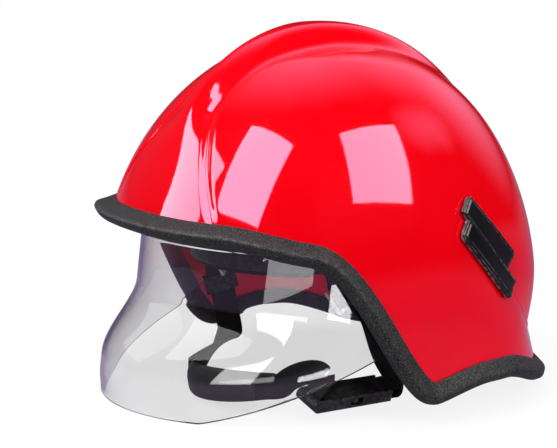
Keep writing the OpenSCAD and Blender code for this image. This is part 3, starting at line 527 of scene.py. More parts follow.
# Stitches: their places are collected while the soft pieces are made

STITCHES = []


def stitch_line(line, pitch):
    """Sets stitches at equal steps along a line of places and normals."""
    spare = 0.5 * pitch
    for (a, up), (b, _) in zip(line, line[1:]):
        step, along = (b - a).length, unit(b - a) if (b - a).length > 1e-6 else None
        while along and spare < step:
            STITCHES.append((a + along * spare + up * THREAD_UP, along, up))
            spare += pitch
        spare -= step


def sew(pad, above, below):
    """Finds where rows of thread lie on a pad's face, looking from above it to its carrier."""
    corners = [tuple(f.vertices) for f in pad.data.polygons]
    tree = BVHTree.FromPolygons([1000 * v.co for v in pad.data.vertices], corners)
    for high, low in zip(above, below):
        line = []
        for a, b in zip(high, low):
            place, normal, _, _ = tree.ray_cast(a, unit(b - a))
            if place:
                line.append((place, normal if normal.dot(a - b) > 0 else -normal))
        stitch_line(line, PAD_PITCH)


def box_stitch(frames, first, last, wide):
    """Sewn box with a cross in it, on both faces of a strap between two lengths along it."""
    def on_strap(length, x, side):
        gone, p, along, across, out = min(frames, key=lambda f: abs(f[0] - length))
        return p + along * (length - gone) + across * x + out * side * (WEB_T / 2 + THREAD_UP), out * side
    half = wide / 2 - 2.2
    corners = [(first, -half), (first, half), (last, half), (last, -half)]
    lines = list(zip(corners, corners[1:] + corners[:1]))
    lines += [(corners[0], corners[2]), (corners[1], corners[3])]
    for side in (1, -1):
        for (l0, x0), (l1, x1) in lines:
            stitch_line([on_strap(mix(l0, l1, t), mix(x0, x1, t), side) for t in parts_of(12)], BOX_PITCH)


# Padded pieces: each has a map between its own place (along, across, height over its carrier) and the helmet

def swell(v):
    """Height of a stuffed face across it, from 0 at its seam to 1 in the middle."""
    t = min(1.0, max(0.0, v))
    return max(0.0, 1 - abs(2 * t - 1) ** 3.2) ** 0.55


def sewn(s, t, length, width, channels):
    """How much of its height the face keeps at the sewn channels and at the seam inside its edge."""
    keep = 1.0
    for at in channels:
        keep *= 1 - 0.55 * math.exp(-((s - at) * length / 1.9) ** 2)
    edge = min(s * length, (1 - s) * length, t * width, (1 - t) * width)
    return keep * (1 - 0.3 * math.exp(-((edge - SEAM_IN) / 1.1) ** 2))


def inflate(pad, held, cap):
    """Swells a closed pad as cloth under pressure, which stays where it rests on its carrier."""
    scene = bpy.context.scene
    even = pad.modifiers.new("even_mesh", "REMESH")
    even.mode, even.voxel_size = "VOXEL", MM * VOXEL
    settle(pad)
    start = [v.co.copy() for v in pad.data.vertices]
    group = pad.vertex_groups.new(name="resting")
    group.add([k for k, p in enumerate(start) if held(1000 * p)], 1.0, "REPLACE")
    rules = pad.modifiers.new("stuffing", "CLOTH").settings
    rules.vertex_group_mass = "resting"
    rules.use_pressure, rules.uniform_pressure_force = True, PRESSURE
    rules.effector_weights.gravity = 0.0
    rules.quality, rules.mass = 4, 0.15
    rules.tension_stiffness = rules.compression_stiffness = 8.0
    rules.bending_stiffness = 0.2
    for number in range(1, CLOTH_FRAMES + 1):
        scene.frame_set(number)
    swollen = pad.evaluated_get(bpy.context.evaluated_depsgraph_get()).data
    grown = [v.co.copy() for v in swollen.vertices]
    pad.modifiers.clear()
    pad.vertex_groups.clear()
    scene.frame_set(1)
    for v, a, b in zip(pad.data.vertices, start, grown):
        move = b - a
        v.co = a + move * min(1.0, MM * cap / max(1e-9, move.length))
    finer = pad.modifiers.new("finer", "SUBSURF")
    finer.levels = finer.render_levels = 1
    settle(pad)


def finish_pad(pad, node):
    shade(pad.data)
    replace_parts(pad, node)


def cushion(name, node, at, where, size, fat, channels, cells=(110, 36)):
    """Pad stuffed by simulated cloth, then pulled in along its seams, with a row of stitches in each."""
    def stuffed(s, t, inner):
        return at(s, t, 0 if inner else 1 + 0.8 * (fat - 1) * swell(t) * swell(s))
    (length, width), (cols, rows) = size, cells
    pad = wall(name, stuffed, parts_of(cols), parts_of(rows), "pad_fabric")
    inflate(pad, lambda p: where(p)[2] < 0.8, 1.6)
    for v in pad.data.vertices:
        s, t, h = where(1000 * v.co)
        if h > REST_H:
            h = REST_H + (min(h, fat) - REST_H) * sewn(s, t, length, width, channels)
        v.co = MM * at(s, t, max(h, 0.0))
    finish_pad(pad, node)
    s0, t0 = SEAM_IN / length, SEAM_IN / width
    seams = [[(mix(s0, 1 - s0, u), t) for u in parts_of(60)] for t in (t0, 1 - t0)]
    seams += [[(s, mix(t0, 1 - t0, u)) for u in parts_of(20)] for s in (s0, 1 - s0, *channels)]
    sew(pad, *([[at(s, t, h) for s, t in row] for row in seams] for h in (fat + 2, 0)))


def band_place(q1, q2, low, high):
    """Maps of a pad inside the headband, from one angle to another."""
    def at(s, t, h):
        q = mix(q1, q2, s)
        p = band_xy(q, -SEAT - h)
        p.z = mix(low(q), high(q), t)
        return p

    def where(p):
        reach = BAND_FRONT if p.y < BAND_Y else BAND_R
        q = atan2_d(p.x / BAND_R, (BAND_Y - p.y) / reach)
        for _ in range(3):
            on_band = (band_xy(q, 0) - Vector((0, BAND_Y, 0))).length
            h = on_band - (Vector((p.x, p.y - BAND_Y, 0))).length - SEAT
            q = atan2_d(p.x / (BAND_R - SEAT - h), (BAND_Y - p.y) / (reach - SEAT - h))
        return (q - q1) / (q2 - q1), (p.z - low(q)) / (high(q) - low(q)), h
    return at, where


def temple_low(q):
    a = abs(q)
    return BAND_Z - 35 + (1.1 * (a - 57) if a > 57 else 2.6 * (57 - a))


def make_pads():
    at, where = band_place(-48, 48, lambda q: band_mid(q) - 17, lambda q: band_mid(q) + 15)
    cushion("brow_cushion", "brow_pad", at, where, (170, 32), 7.7, (0.2, 0.4, 0.6, 0.8))
    for side, q1, q2 in (("left", 51, 84), ("right", -84, -51)):
        at, where = band_place(q1, q2, temple_low, lambda q: band_mid(q) + 13)
        cushion(f"temple_cushion_{side}", "temple_pads", at, where, (60, 40), 5.7, (0.5,), (60, 36))

    def nape_at(s, t, h):
        return around(mix(152, 208, s), BAND_R - SEAT - h, BAND_Y, NAPE_BAND_Z + mix(-15, 15, t))

    def nape_where(p):
        q = atan2_d(p.x, BAND_Y - p.y) % 360
        h = BAND_R - SEAT - math.hypot(p.x, p.y - BAND_Y)
        return (q - 152) / 56, (p.z - NAPE_BAND_Z + 15) / 30, h
    cushion("nape_cushion", "nape_pad", nape_at, nape_where, (76, 30), 7.5, (1 / 3, 2 / 3), (70, 30))
    make_crown_cushion()


def make_crown_cushion():
    """Round pad under the cradle's crossing, with six sewn rays."""
    pad_r, top = 34, CROWN_Z - 1.6 - SEAT

    def roof(r):
        return top - 20 + 20 * math.sqrt(1 - min(r, 40) ** 2 / 44 ** 2)

    def under_roof(a, r):
        return around(a, r, CROWN_Y, roof(r))

    columns = []
    for j in range(96):
        outer, inner = [], []
        for r in (pad_r * i / 20 for i in range(1, 21)):
            edge = 1 - (r / pad_r) ** 4
            outer.append(under_roof(3.75 * j, r) - Vector((0, 0, 1.4 - 1.4 * edge)))
            inner.insert(0, under_roof(3.75 * j, r) - Vector((0, 0, 3 + 4.6 * edge)))
        columns.append(outer + inner)
    pad = bowl("crown_cushion", columns, (0, CROWN_Y, roof(0)), (0, CROWN_Y, roof(0) - 7.6), "pad_fabric")
    inflate(pad, lambda p: p.z > roof(math.hypot(p.x, p.y - CROWN_Y)) - 1.9, 1.4)
    for v in pad.data.vertices:
        p = 1000 * v.co
        r = math.hypot(p.x, p.y - CROWN_Y)
        depth = roof(r) - p.z
        if depth > 2 and r > 1:
            ray = (atan2_d(p.x, CROWN_Y - p.y) + 30) % 60 - 30
            pull = 0.45 * smooth(5, 12, r) * math.exp(-(math.radians(ray) * r / 1.8) ** 2)
            v.co.z = MM * (roof(r) - (2 + (min(depth, 9) - 2) * (1 - pull)))
    finish_pad(pad, "crown_pad")
    rays = [[under_roof(a, r) for r in range(8, 31)] for a in range(0, 360, 60)]
    sew(pad, [[p - 14 * UP for p in ray] for ray in rays], rays)


def make_piping():
    """Twisted cord along the temple pads' lower edges, with its corners eased."""
    steps, cord_r, sides = 96, 1.2, 16
    for side, name in ((1, "left"), (-1, "right")):
        path = []
        for j in range(steps + 1):
            q = mix(52, 82, j / steps)
            p = band_xy(side * q, -2.4)
            p.z = temple_low(q) - (cord_r + SEAT) * (2.3 if q < 58 else 1.4)
            path.append(p)
        eased = [(path[j - 1] + path[j] * 2 + path[j + 1]) / 4 for j in range(1, steps)]
        soft = [path[0]] + eased + [path[-1]]
        rings, uv = [], []
        for j, p in enumerate(soft):
            along = unit(soft[min(steps, j + 1)] - soft[max(0, j - 1)])
            flat = unit(along.cross(UP))
            up = flat.cross(along)
            rings.append([p + (flat * cos_d(22.5 * k) + up * sin_d(22.5 * k)) * cord_r for k in range(sides)])
            uv += [(0.0075 * k / sides, 0.0004 * j) for k in range(sides)]
        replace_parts(loft("temple_piping_" + name, rings, "piping", uv=uv), "pad_piping")


# Chin strap and cup

CLIP_Q, STRAP_CLIP_T, BAR_L, BAR_HALF = 56, 1.6, 4, 1.8
WRAP_R = BAR_HALF + SEAT + WEB_T / 2
CUP_R, CUP_MID, CUP_TURN, CUP_HALF, CUP_RISE = 46, Vector((20, -72, 13.5)), 6, 66, 0.1
BUCKLE_X, BUCKLE_Z, BUCKLE_BACK, BUCKLE_LEAN, SOCKET_L = 83, 13, -20, 15, 42
ACROSS_BUCKLE = Vector((cos_d(BUCKLE_LEAN), 0, -sin_d(BUCKLE_LEAN)))
TONGUE_SLOT_Y = -SOCKET_L - 19 + 6.5
FAR_ACROSS = Vector((0.3, 0.95, 0))
UP = Vector((0, 0, 1))


def flip(p):
    return Vector((-p[0], p[1], p[2]))


def cup_pt(a, inset, dz):
    x = (CUP_R - inset) * sin_d(a + CUP_TURN)
    return CUP_MID + Vector((x, -(CUP_R - inset) * cos_d(a + CUP_TURN), dz + CUP_RISE * x))


def cup_along(a):
    return Vector((cos_d(a + CUP_TURN), sin_d(a + CUP_TURN), 0))


def buckle_pt(y, z):
    return Vector((BUCKLE_X + z * sin_d(BUCKLE_LEAN), BUCKLE_BACK + y, BUCKLE_Z + z * cos_d(BUCKLE_LEAN)))


STRAP_TOP = band_pt(CLIP_Q, BAND_T + 2 * SEAT + STRAP_CLIP_T + WEB_T / 2, 9)
STRAP_HANG = STRAP_TOP - 17 * UP
RIGHT_TURN, LEFT_KNEE = Vector((-80, -28, 22)), Vector((89, -32, 52))
RIGHT_END = cup_pt(9 - CUP_HALF, -WEB_T / 2 - SEAT, 0)
RIGHT_AIM = RIGHT_END - 34 * cup_along(9 - CUP_HALF)
RIGHT_PATH = (
    [flip(mix(STRAP_TOP, STRAP_HANG, k / 3)) for k in range(3)]
    + curve(flip(STRAP_HANG), flip(STRAP_HANG) - 16 * UP, RIGHT_TURN + Vector((-5, -6, 30)), RIGHT_TURN, 8)
    + curve(RIGHT_TURN, RIGHT_TURN + Vector((2, 4, -12)), RIGHT_AIM, RIGHT_END, 12, 1))
KNEE_AIM = LEFT_KNEE + Vector((3, 9, -28))
LEFT_PATH = (
    [mix(STRAP_TOP, STRAP_HANG, k / 3) for k in range(3)]
    + curve(STRAP_HANG, STRAP_HANG - 16 * UP, LEFT_KNEE + Vector((-2, -6, 24)), LEFT_KNEE, 7)
    + curve(LEFT_KNEE, KNEE_AIM, buckle_pt(19, -WRAP_R - 2), buckle_pt(1, -WRAP_R), 12, 1)
    + [buckle_pt(-BAR_L - WRAP_R * sin_d(a), -WRAP_R * cos_d(a)) for a in range(0, 181, 30)]
    + [buckle_pt(0, WRAP_R), buckle_pt(4, WRAP_R + 0.4), buckle_pt(8, WRAP_R + 1.6)])


def right_width(s):
    if s < 0.42:
        return mix(flip(band_along(CLIP_Q)), FAR_ACROSS, smooth(0.16, 0.34, s))
    return mix(FAR_ACROSS, UP, smooth(0.48, 1, s))


def left_width(s):
    return mix(band_along(CLIP_Q), ACROSS_BUCKLE, smooth(0.28, 0.66, s))


def slack_width(s):
    return mix(UP, -ACROSS_BUCKLE, smooth(0.4, 0.94, s))


def make_chin_straps():
    _, far = ribbon("far_strap", RIGHT_PATH, right_width, WEB_W, "chin_strap_right")
    _, near = ribbon("near_strap", LEFT_PATH, left_width, WEB_W - 2, "chin_strap_left")
    off = -WEB_T / 2 - SEAT
    leave, slot_y = cup_pt(CUP_HALF, off, 0), TONGUE_SLOT_Y - 0.9
    path = ([cup_pt(a, off, 0) for a in (46, 51, 56)]
            + curve(leave, leave + Vector((4, 8, 12)), buckle_pt(slot_y + 17, 22), buckle_pt(slot_y, 5), 11)
            + [buckle_pt(slot_y, 2), buckle_pt(slot_y, -2)])
    slack, _ = ribbon("slack_strap", path, slack_width, WEB_W - 3, "tongue_strap", body=None)
    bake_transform(slack)
    box_stitch(far, far[-1][0] - 15, far[-1][0] - 3, WEB_W)
    box_stitch(far, 16, 28, WEB_W)
    box_stitch(near, 16, 28, WEB_W - 2)


def make_chin_cup():
    """Leather cup, tallest in its middle, with rounded ends and edges."""
    def at(s, t, inner):
        a, v = mix(-CUP_HALF, CUP_HALF, s), 2 * t - 1
        end = min(1.0, (CUP_HALF - abs(a)) / 6)
        tall = mix(7.4, 10.5, cos_d(a * 1.3)) * (0.72 + 0.28 * math.sqrt(max(0.0, 1 - (1 - end) ** 2)))
        eased = 0.5 * smooth(0.86, 1.0, abs(v))
        return cup_pt(a, (2 - eased if inner else eased) + 2.5 * v * v, tall * v)
    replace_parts(wall("leather_cup", at, parts_of(96), parts_of(24), "cup_leather", sharp=60), "chin_cup")


def make_chin_cushion():
    half = CUP_HALF - 4

    def tall(a):
        return mix(7, 9.5, cos_d(a * 1.3))

    def at(s, t, h):
        a, v = mix(-half, half, s), 2 * t - 1
        return cup_pt(a, 2 + SEAT + 2.5 * v * v + h, tall(a) * v)

    def where(p):
        d = p - CUP_MID
        a = atan2_d(d.x, -d.y) - CUP_TURN
        v = (d.z - CUP_RISE * d.x) / tall(min(half, max(-half, a)))
        return (a + half) / (2 * half), (v + 1) / 2, CUP_R - math.hypot(d.x, d.y) - 2 - SEAT - 2.5 * v * v
    cushion("chin_cushion", "chin_pad", at, where, (88, 18), 6.0, (0.25, 0.5, 0.75), (90, 24))


# Visor: its side arms end in round hubs at the pivots

def lens_low(phi):
    return 63 * max(0.0, (abs(phi) - 22) / 68) ** 1.1


def lens_reach(z, phi):
    bulge = BULGE * smooth(68, 24, z) - 2 * smooth(14, 0, z)
    return NECK_L + 0.1 * (LENS_TOP - z) + bulge * (1 - smooth(62, 84, abs(phi)))


def lens_pt(phi, v, inset):
    flat_y = (LENS_HALF_W - LENS_T) * sin_d(abs(phi) - 90)
    cap = math.sqrt(max(0.0, HUB_R ** 2 - flat_y ** 2))
    if abs(phi) > 90:
        low, high = PIVOT_Z - cap, PIVOT_Z + cap
    else:
        low = lens_low(phi) * (PIVOT_Z - HUB_R) / 63
        high = mix(LENS_TOP, PIVOT_Z + HUB_R, smooth(30, 80, abs(phi)))
    z = mix(low, high, v)
    b, a = lens_reach(z, phi) - inset, LENS_HALF_W - inset
    r = 1 / math.sqrt((sin_d(phi) / a) ** 2 + (cos_d(phi) / b) ** 2)
    return around(phi, r, z=z)


def make_lens():
    reach = 90 + math.degrees(math.asin(HUB_R * 0.985 / (LENS_HALF_W - LENS_T)))
    rows = [(0.0, 0.7), (0.006, 0.1)] + [(v, 0.0) for v in parts_of(72)[1:-1]] + [(0.994, 0.1), (1.0, 0.7)]

    def at(s, row, inner):
        v, eased = row
        return lens_pt(mix(-reach, reach, s), v, LENS_T - eased if inner else eased)
    lens = wall("clear_visor", at, parts_of(320), rows, "lens", body="visor")
    drill_hubs(lens)
    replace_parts(lens, "visor_lens")


def drill_hubs(lens):
    """Bores for the two bushes."""
    work = bmesh.new()
    for side in (-1, 1):
        place = Matrix.Translation((side * MM * LENS_HALF_W, 0, MM * PIVOT_Z))
        bmesh.ops.create_cone(work, cap_ends=True, segments=64, radius1=0.0061, radius2=0.0061, depth=0.012,
                              matrix=place @ Matrix.Rotation(math.pi / 2, 4, "Y"))
    mesh = bpy.data.meshes.new("hub_bores")
    work.to_mesh(mesh)
    work.free()
    drill = link("hub_bores", mesh)
    cut = lens.modifiers.new("bores", "BOOLEAN")
    cut.operation, cut.object, cut.solver = "DIFFERENCE", drill, "EXACT"
    settle(lens)
    bpy.data.objects.remove(drill)


# Clip plates on the side creases

def plate_pt(s, v, out):
    slant = mix(-0.05, 0.8, s) if v > 0 else mix(0.04, 1, s)
    phi = mix(97, 118, slant)
    z = crease_z(phi) + (0.86 if v > 0 else 0.76) * v
    turn = phi + math.degrees(0.72 * v / HALF_W)
    return skin(turn, lat_of(z), -out)


def lobe_pt(s, t, inner):
    """Clip plate of two lobes: their edges are rounded, and a thin ridge runs along the fold between them."""
    s, v = 0.5 - 0.5 * math.cos(math.pi * s), -math.cos(math.pi * t)
    corner = 0.075 * (1 - math.sqrt(max(0.0, 1 - max(0.0, (abs(v) - 0.7) / 0.3) ** 2)))
    share = mix(corner, 1 - corner, s)
    to_edge = min(PLATE_L * min(s, 1 - s), LOBE_W * (1 - abs(v)))
    rise = PLATE_T * (0.5 + 0.34 * smooth(0, 0.9, to_edge) + 0.16 * smooth(1.6, 2.8, to_edge))
    rise += FOLD_H * math.exp(-(v * LOBE_W / FOLD_W) ** 2) * smooth(0, 2, to_edge)
    return plate_pt(share, v * LOBE_W, PLATE_GAP + (0 if inner else rise))


def make_brackets():
    for name, at in (("left", lobe_pt), ("right", lambda *place: flip(lobe_pt(*place)))):
        plate = wall(f"clip_plate_{name}", at, parts_of(88), parts_of(60), "bracket_plastic", sharp=55)
        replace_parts(plate, f"bracket_{name}")


# Machined nodes: their bodies, slots and the width of their rounded edges
MOULDED = (
    ("buckle_socket", 0.9, "helmet", "buckle_plastic"),
    ("buckle_tongue", 0.8, "tongue", "buckle_plastic"),
    ("prong_outer", 0.35, "outer_prong", "buckle_plastic"),
    ("prong_inner", 0.35, "inner_prong", "buckle_plastic"),
    ("strap_slider", 0.6, "helmet", "buckle_plastic"),
    ("strap_keeper", 0.5, "helmet", "buckle_plastic"),
    ("strap_clips", 0.5, "helmet", "clip_plastic"),
    ("harness_clips", 0.4, "helmet", "clip_plastic"),
    ("nape_housing", 0.6, "helmet", "band_plastic"),
    ("tail_guides", 0.3, "helmet", "band_plastic"),
    ("pivot_plates", 0.6, "helmet", "clip_plastic"),
    ("pivot_screws", 0.4, "helmet", "screw_steel"),
)


def make_moulded_parts():
    for part in MOULDED:
        softened(*part)


def make_knob():
    """Ratchet knob with twelve finger grips, a dished face and a well for its screw."""
    near, far, count = KNOB_Y, KNOB_Y + KNOB_L, 288

    def ring(y, r=None, cut=0):
        points = []
        for a in (360 * k / count for k in range(count)):
            reach = r or KNOB_R - 1.4 - cut + 1.3 * (0.5 + 0.5 * cos_d(12 * a)) ** 1.6
            points.append(Vector((reach * sin_d(a), y, NAPE_BAND_Z + reach * cos_d(a))))
        return points

    face = ((13.2, 0.05), (12.6, 0.5), (11.6, 0.75), (5.4, 0.75),
            (4.4, 0.5), (3.9, 0.7), (3.7, 1.2), (3.6, 2.0))
    rings = [ring(near, 2.6)]
    rings += [ring(near + d, cut=cut) for cut, d in ((1.2, 0), (0.4, 0.25), (0, 0.9))]
    rings += [ring(mix(near + 2, far - 2, k / 4)) for k in range(5)]
    rings += [ring(far - d, cut=cut) for cut, d in ((0.05, 1.2), (0.35, 0.5), (0.9, 0.1), (1.5, 0))]
    rings += [ring(far - d, r) for r, d in face]
    rings += [ring(far - 2.0, 1.45), ring(near + 6.9, 1.45), ring(near + 6.9, 2.6)]
    knob = loft("ratchet_knob_grip", rings, "knob_plastic", body="knob", closed=True, sharp=48)
    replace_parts(knob, "ratchet_knob")


# Node trees

NUMBER = "NodeSocketFloat"


class Net:
    """One node tree, with short ways to add and join nodes."""

    def __init__(self, tree):
        self.tree, self.nodes, self.links = tree, tree.nodes, tree.links

    def put(self, node, socket, value):
        target = node.inputs[socket]
        if isinstance(value, bpy.types.NodeSocket):
            self.links.new(value, target)
        else:
            target.default_value = value

    def add(self, kind, *values, **settings):
        """New node with its settings, and with its first sockets filled in their order."""
        node = self.nodes.new(kind if "Node" in kind else "ShaderNode" + kind)
        for key, value in settings.items():
            setattr(node, key, value)
        for k, value in enumerate(values):
            self.put(node, k, value)
        return node

    def fill(self, node, **values):
        """Fills a node's sockets by their names."""
        for socket, value in values.items():
            self.put(node, socket.replace("_", " "), value)
        return node

    def math(self, operation, *values, clamp=False):
        return self.add("Math", *values, operation=operation, use_clamp=clamp).outputs[0]

    def times(self, a, b):
        return self.math("MULTIPLY", a, b)

    def plus(self, a, b):
        return self.math("ADD", a, b)

    def rest(self, a, clamp=False):
        return self.math("SUBTRACT", 1.0, a, clamp=clamp)

    def per(self, size, share=1.0):
        return self.math("DIVIDE", share, size)

    def wave(self, value):
        return self.math("ABSOLUTE", self.math("SINE", self.times(value, math.pi)))

    def span(self, value, low, high, to_low=0.0, to_high=1.0):
        return self.add("MapRange", value, low, high, to_low, to_high, clamp=True).outputs[0]

    def blend(self, factor, a, b):
        """Mix of two colours, where a plain number stands for a grey."""
        node = self.add("Mix", data_type="RGBA")
        self.put(node, "Factor", factor)
        for socket, value in ((6, a), (7, b)):
            self.put(node, socket, grey(value) if isinstance(value, float) else value)
        return node.outputs[2]

    def noise(self, scale, detail=3.0):
        node = self.add("TexNoise")
        return self.fill(node, Vector=self.place(), Scale=scale, Detail=detail, Roughness=0.55).outputs["Fac"]

    def cells(self, scale, feature="SMOOTH_F1"):
        node = self.add("TexVoronoi", feature=feature)
        return self.fill(node, Vector=self.place(), Scale=scale).outputs["Distance"]

    def place(self, kind="Object"):
        return self.add("TexCoord").outputs[kind]

    def parts(self, vector):
        return self.add("SeparateXYZ", vector).outputs

    def weave_place(self):
        return self.parts(self.add("UVMap", uv_map="weave").outputs[0])


def rgba(r, g, b):
    return (r, g, b, 1.0)


def grey(v):
    return (v, v, v, 1.0)


def stitch_tree():
    """Sets one rounded stitch on every point, turned along the seam and laid on the cloth."""
    tree = bpy.data.node_groups.new("sewn_stitches", "GeometryNodeTree")
    tree.interface.new_socket(name="Geometry", in_out="INPUT", socket_type="NodeSocketGeometry")
    for label, kind, value in (("Stitch Length", NUMBER, MM * STITCH_L),
                               ("Thread Width", NUMBER, MM * THREAD_W), ("Seed", "NodeSocketInt", 7)):
        tree.interface.new_socket(name=label, in_out="INPUT", socket_type=kind).default_value = value
    tree.interface.new_socket(name="Thread", in_out="INPUT", socket_type="NodeSocketMaterial")
    tree.interface.new_socket(name="Geometry", in_out="OUTPUT", socket_type="NodeSocketGeometry")
    net = Net(tree)
    given, out = net.add("NodeGroupInput").outputs, net.add("NodeGroupOutput")
    bead = net.fill(net.add("GeometryNodeMeshUVSphere"), Segments=6, Rings=4, Radius=0.5)
    turn = None
    for axis, name in (("X", "seam_along"), ("Z", "seam_out")):
        named = net.fill(net.add("GeometryNodeInputNamedAttribute", data_type="FLOAT_VECTOR"), Name=name)
        align = net.add("FunctionNodeAlignRotationToVector", axis=axis, pivot_axis="X" if turn else "AUTO")
        net.put(align, "Vector", named.outputs["Attribute"])
        if turn:
            net.put(align, "Rotation", turn)
        turn = align.outputs[0]
    size = net.add("CombineXYZ", given["Stitch Length"], given["Thread Width"], given["Thread Width"])
    vary = net.add("FunctionNodeRandomValue", data_type="FLOAT")
    open_sockets = {i.name: i for i in vary.inputs if i.enabled}
    open_sockets["Min"].default_value, open_sockets["Max"].default_value = 0.88, 1.08
    net.links.new(given["Seed"], open_sockets["Seed"])
    scaled = net.add("VectorMath", size.outputs[0], operation="SCALE")
    net.put(scaled, "Scale", next(o for o in vary.outputs if o.enabled))
    spread = net.fill(net.add("GeometryNodeInstanceOnPoints"), Points=given["Geometry"],
                      Instance=bead.outputs["Mesh"], Rotation=turn, Scale=scaled.outputs[0])
    real = net.add("GeometryNodeRealizeInstances", spread.outputs[0])
    threaded = net.fill(net.add("GeometryNodeSetMaterial"), Geometry=real.outputs[0], Material=given["Thread"])
    net.put(out, 0, threaded.outputs[0])
    return tree


def make_stitches():
    mesh = bpy.data.meshes.new("seam_stitches")
    mesh.from_pydata([tuple(MM * c for c in p) for p, _, _ in STITCHES], [], [])
    for name, k in (("seam_along", 1), ("seam_out", 2)):
        layer = mesh.attributes.new(name, "FLOAT_VECTOR", "POINT")
        for cell, row in zip(layer.data, STITCHES):
            cell.vector = row[k]
    thread = link("seam_stitches", mesh)
    nodes = thread.modifiers.new("stitches", "NODES")
    nodes.node_group = stitch_tree()
    values = {"Stitch Length": MM * STITCH_L, "Thread Width": MM * THREAD_W, "Seed": 7,
              "Thread": FINISHES["thread"]}
    for socket in nodes.node_group.interface.items_tree:
        if socket.name in values:
            nodes[socket.identifier] = values[socket.name]
    settle(thread)
    shade(thread.data)
    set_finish(thread, "pad_fabric")
    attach(thread, "helmet")
    thread["finish"] = "thread"


# Shared groups: they take sizes in metres or amounts, and give out heights and masks

def new_group(name, outputs, **inputs):
    tree = bpy.data.node_groups.new(name, "ShaderNodeTree")
    for label, value in inputs.items():
        socket = tree.interface.new_socket(name=label.replace("_", " "), in_out="INPUT", socket_type=NUMBER)
        socket.default_value = value
    for label in outputs:
        tree.interface.new_socket(name=label, in_out="OUTPUT", socket_type=NUMBER)
    net = Net(tree)
    return net, net.add("NodeGroupInput").outputs, net.add("NodeGroupOutput")


def grain_group():
    """Fine pebbled grain with a softer cloud of tone."""
    net, given, out = new_group("moulded_grain", ("Height", "Cloud", "Speck"), Grain_Size=0.0006,
                                Cloud_Size=0.03)
    fine = net.noise(net.per(given["Grain Size"]), 2.0)
    pebbles = net.cells(net.per(given["Grain Size"], 0.7))
    cloud = net.noise(net.per(given["Cloud Size"]))
    net.fill(out, Height=net.plus(net.times(fine, 0.6), pebbles), Cloud=net.span(cloud, 0.35, 0.65),
             Speck=net.span(fine, 0.52, 0.72))
    return net.tree


def edge_group():
    """Mask of sharp corners, broken up by noise: wear on most pieces, and a painted highlight on the clip
    plates.
    """
    net, given, out = new_group("edge_wear_and_highlight", ("Mask",), Reach=0.5, Break_Up=0.004)
    sharp = net.add("NewGeometry").outputs["Pointiness"]
    edge = net.span(sharp, 0.505, net.plus(0.52, net.times(0.08, given["Reach"])))
    rough = net.span(net.noise(net.per(given["Break Up"]), 4.0), 0.4, 0.62)
    net.put(out, "Mask", net.math("MULTIPLY", edge, rough, clamp=True))
    return net.tree


def weave_group():
    """Woven webbing: ribs along the strap crossed by picks, from its own coordinates."""
    net, given, out = new_group("webbing_weave", ("Height", "Thread"), Rib_Width=0.0016, Pick_Length=0.0011)
    along = net.weave_place()
    u, v = net.per(given["Rib Width"], along[0]), net.per(given["Pick Length"], along[1])
    rib, pick = net.wave(u), net.wave(net.plus(v, net.times(net.math("FLOOR", u), 0.5)))
    net.fill(out, Height=net.times(net.math("POWER", rib, 0.6), net.math("POWER", pick, 0.5)),
             Thread=net.times(rib, pick))
    return net.tree


def knit_group():
    """Close knit of padded fabric, in the piece's own place so that it needs no seams."""
    net, given, out = new_group("knit_fabric", ("Height", "Lint"), Loop_Size=0.0011)
    fuzz = net.noise(net.per(given["Loop Size"], 2.5), 2.0)
    net.fill(out, Height=net.plus(net.cells(net.per(given["Loop Size"])), net.times(fuzz, 0.4)),
             Lint=net.span(fuzz, 0.55, 0.75))
    return net.tree


def dust_group():
    """Dust that lies where a surface faces up."""
    net, given, out = new_group("settled_dust", ("Mask",), Amount=0.2)
    up = net.span(net.parts(net.add("NewGeometry").outputs["Normal"])[2], 0.2, 1.0)
    patch = net.span(net.noise(60.0, 5.0), 0.42, 0.7)
    net.put(out, "Mask", net.times(net.times(up, patch), given["Amount"]))
    return net.tree


GROUPS = {"grain": grain_group(), "edge": edge_group(), "weave": weave_group(), "knit": knit_group(),
          "dust": dust_group()}


# Materials

class Finish(Net):
    """A material's tree, with plain numbers on the shader's sockets that stay the same all over."""

    def __init__(self, name, **sockets):
        self.material = bpy.data.materials.new(name)
        self.material.use_nodes = True
        super().__init__(self.material.node_tree)
        self.shader = self.nodes["Principled BSDF"]
        self.fill(self.shader, **sockets)

    def use(self, key, **values):
        """Outputs of one of the shared groups."""
        return self.fill(self.add("Group", node_tree=GROUPS[key]), **values).outputs

    def grain(self, size, cloud):
        return self.use("grain", Grain_Size=size, Cloud_Size=cloud)

    def edge(self, reach, broken):
        return self.use("edge", Reach=reach, Break_Up=broken)["Mask"]

    def knit(self, size):
        return self.use("knit", Loop_Size=size)

    def cover(self, colour, rough, height=None, strength=0, distance=0):
        """Joins the colour, the roughness and the relief to the shader."""
        self.fill(self.shader, Base_Color=colour, Roughness=rough)
        if height:
            relief_node = self.fill(self.add("Bump"), Height=height, Strength=strength, Distance=distance)
            self.put(self.shader, "Normal", relief_node.outputs[0])
        return self.material

    def layered(self, tone, over, rough, *relief_values):
        """Two tones by one mask, a layer over a share of another mask, and roughness from low to high."""
        (mask, first, second), (paler, share, colour), (by, low, high) = tone, over, rough
        under = self.blend(mask, first, second)
        return self.cover(self.blend(self.times(paler, share), under, colour), self.span(by, 0, 1, low, high),
                          *relief_values)


def shell_paint():
    """Glossy gelcoat whose mirror image comes out a little lilac over the red."""
    f = Finish("red_gelcoat", IOR=1.5, Specular_IOR_Level=0.55, Specular_Tint=rgba(0.82, 0.62, 1.0))
    cloud = f.grain(0.004, 0.05)["Cloud"]
    colour = f.blend(cloud, rgba(0.84, 0.0003, 0.0045), rgba(0.88, 0.0006, 0.006))
    dusty = f.blend(f.use("dust", Amount=0.006)["Mask"], colour, rgba(0.8, 0.35, 0.32))
    return f.cover(dusty, f.span(f.noise(700.0), 0.3, 0.7, 0.035, 0.06), f.noise(260.0, 2.0), 0.02, 0.0003)


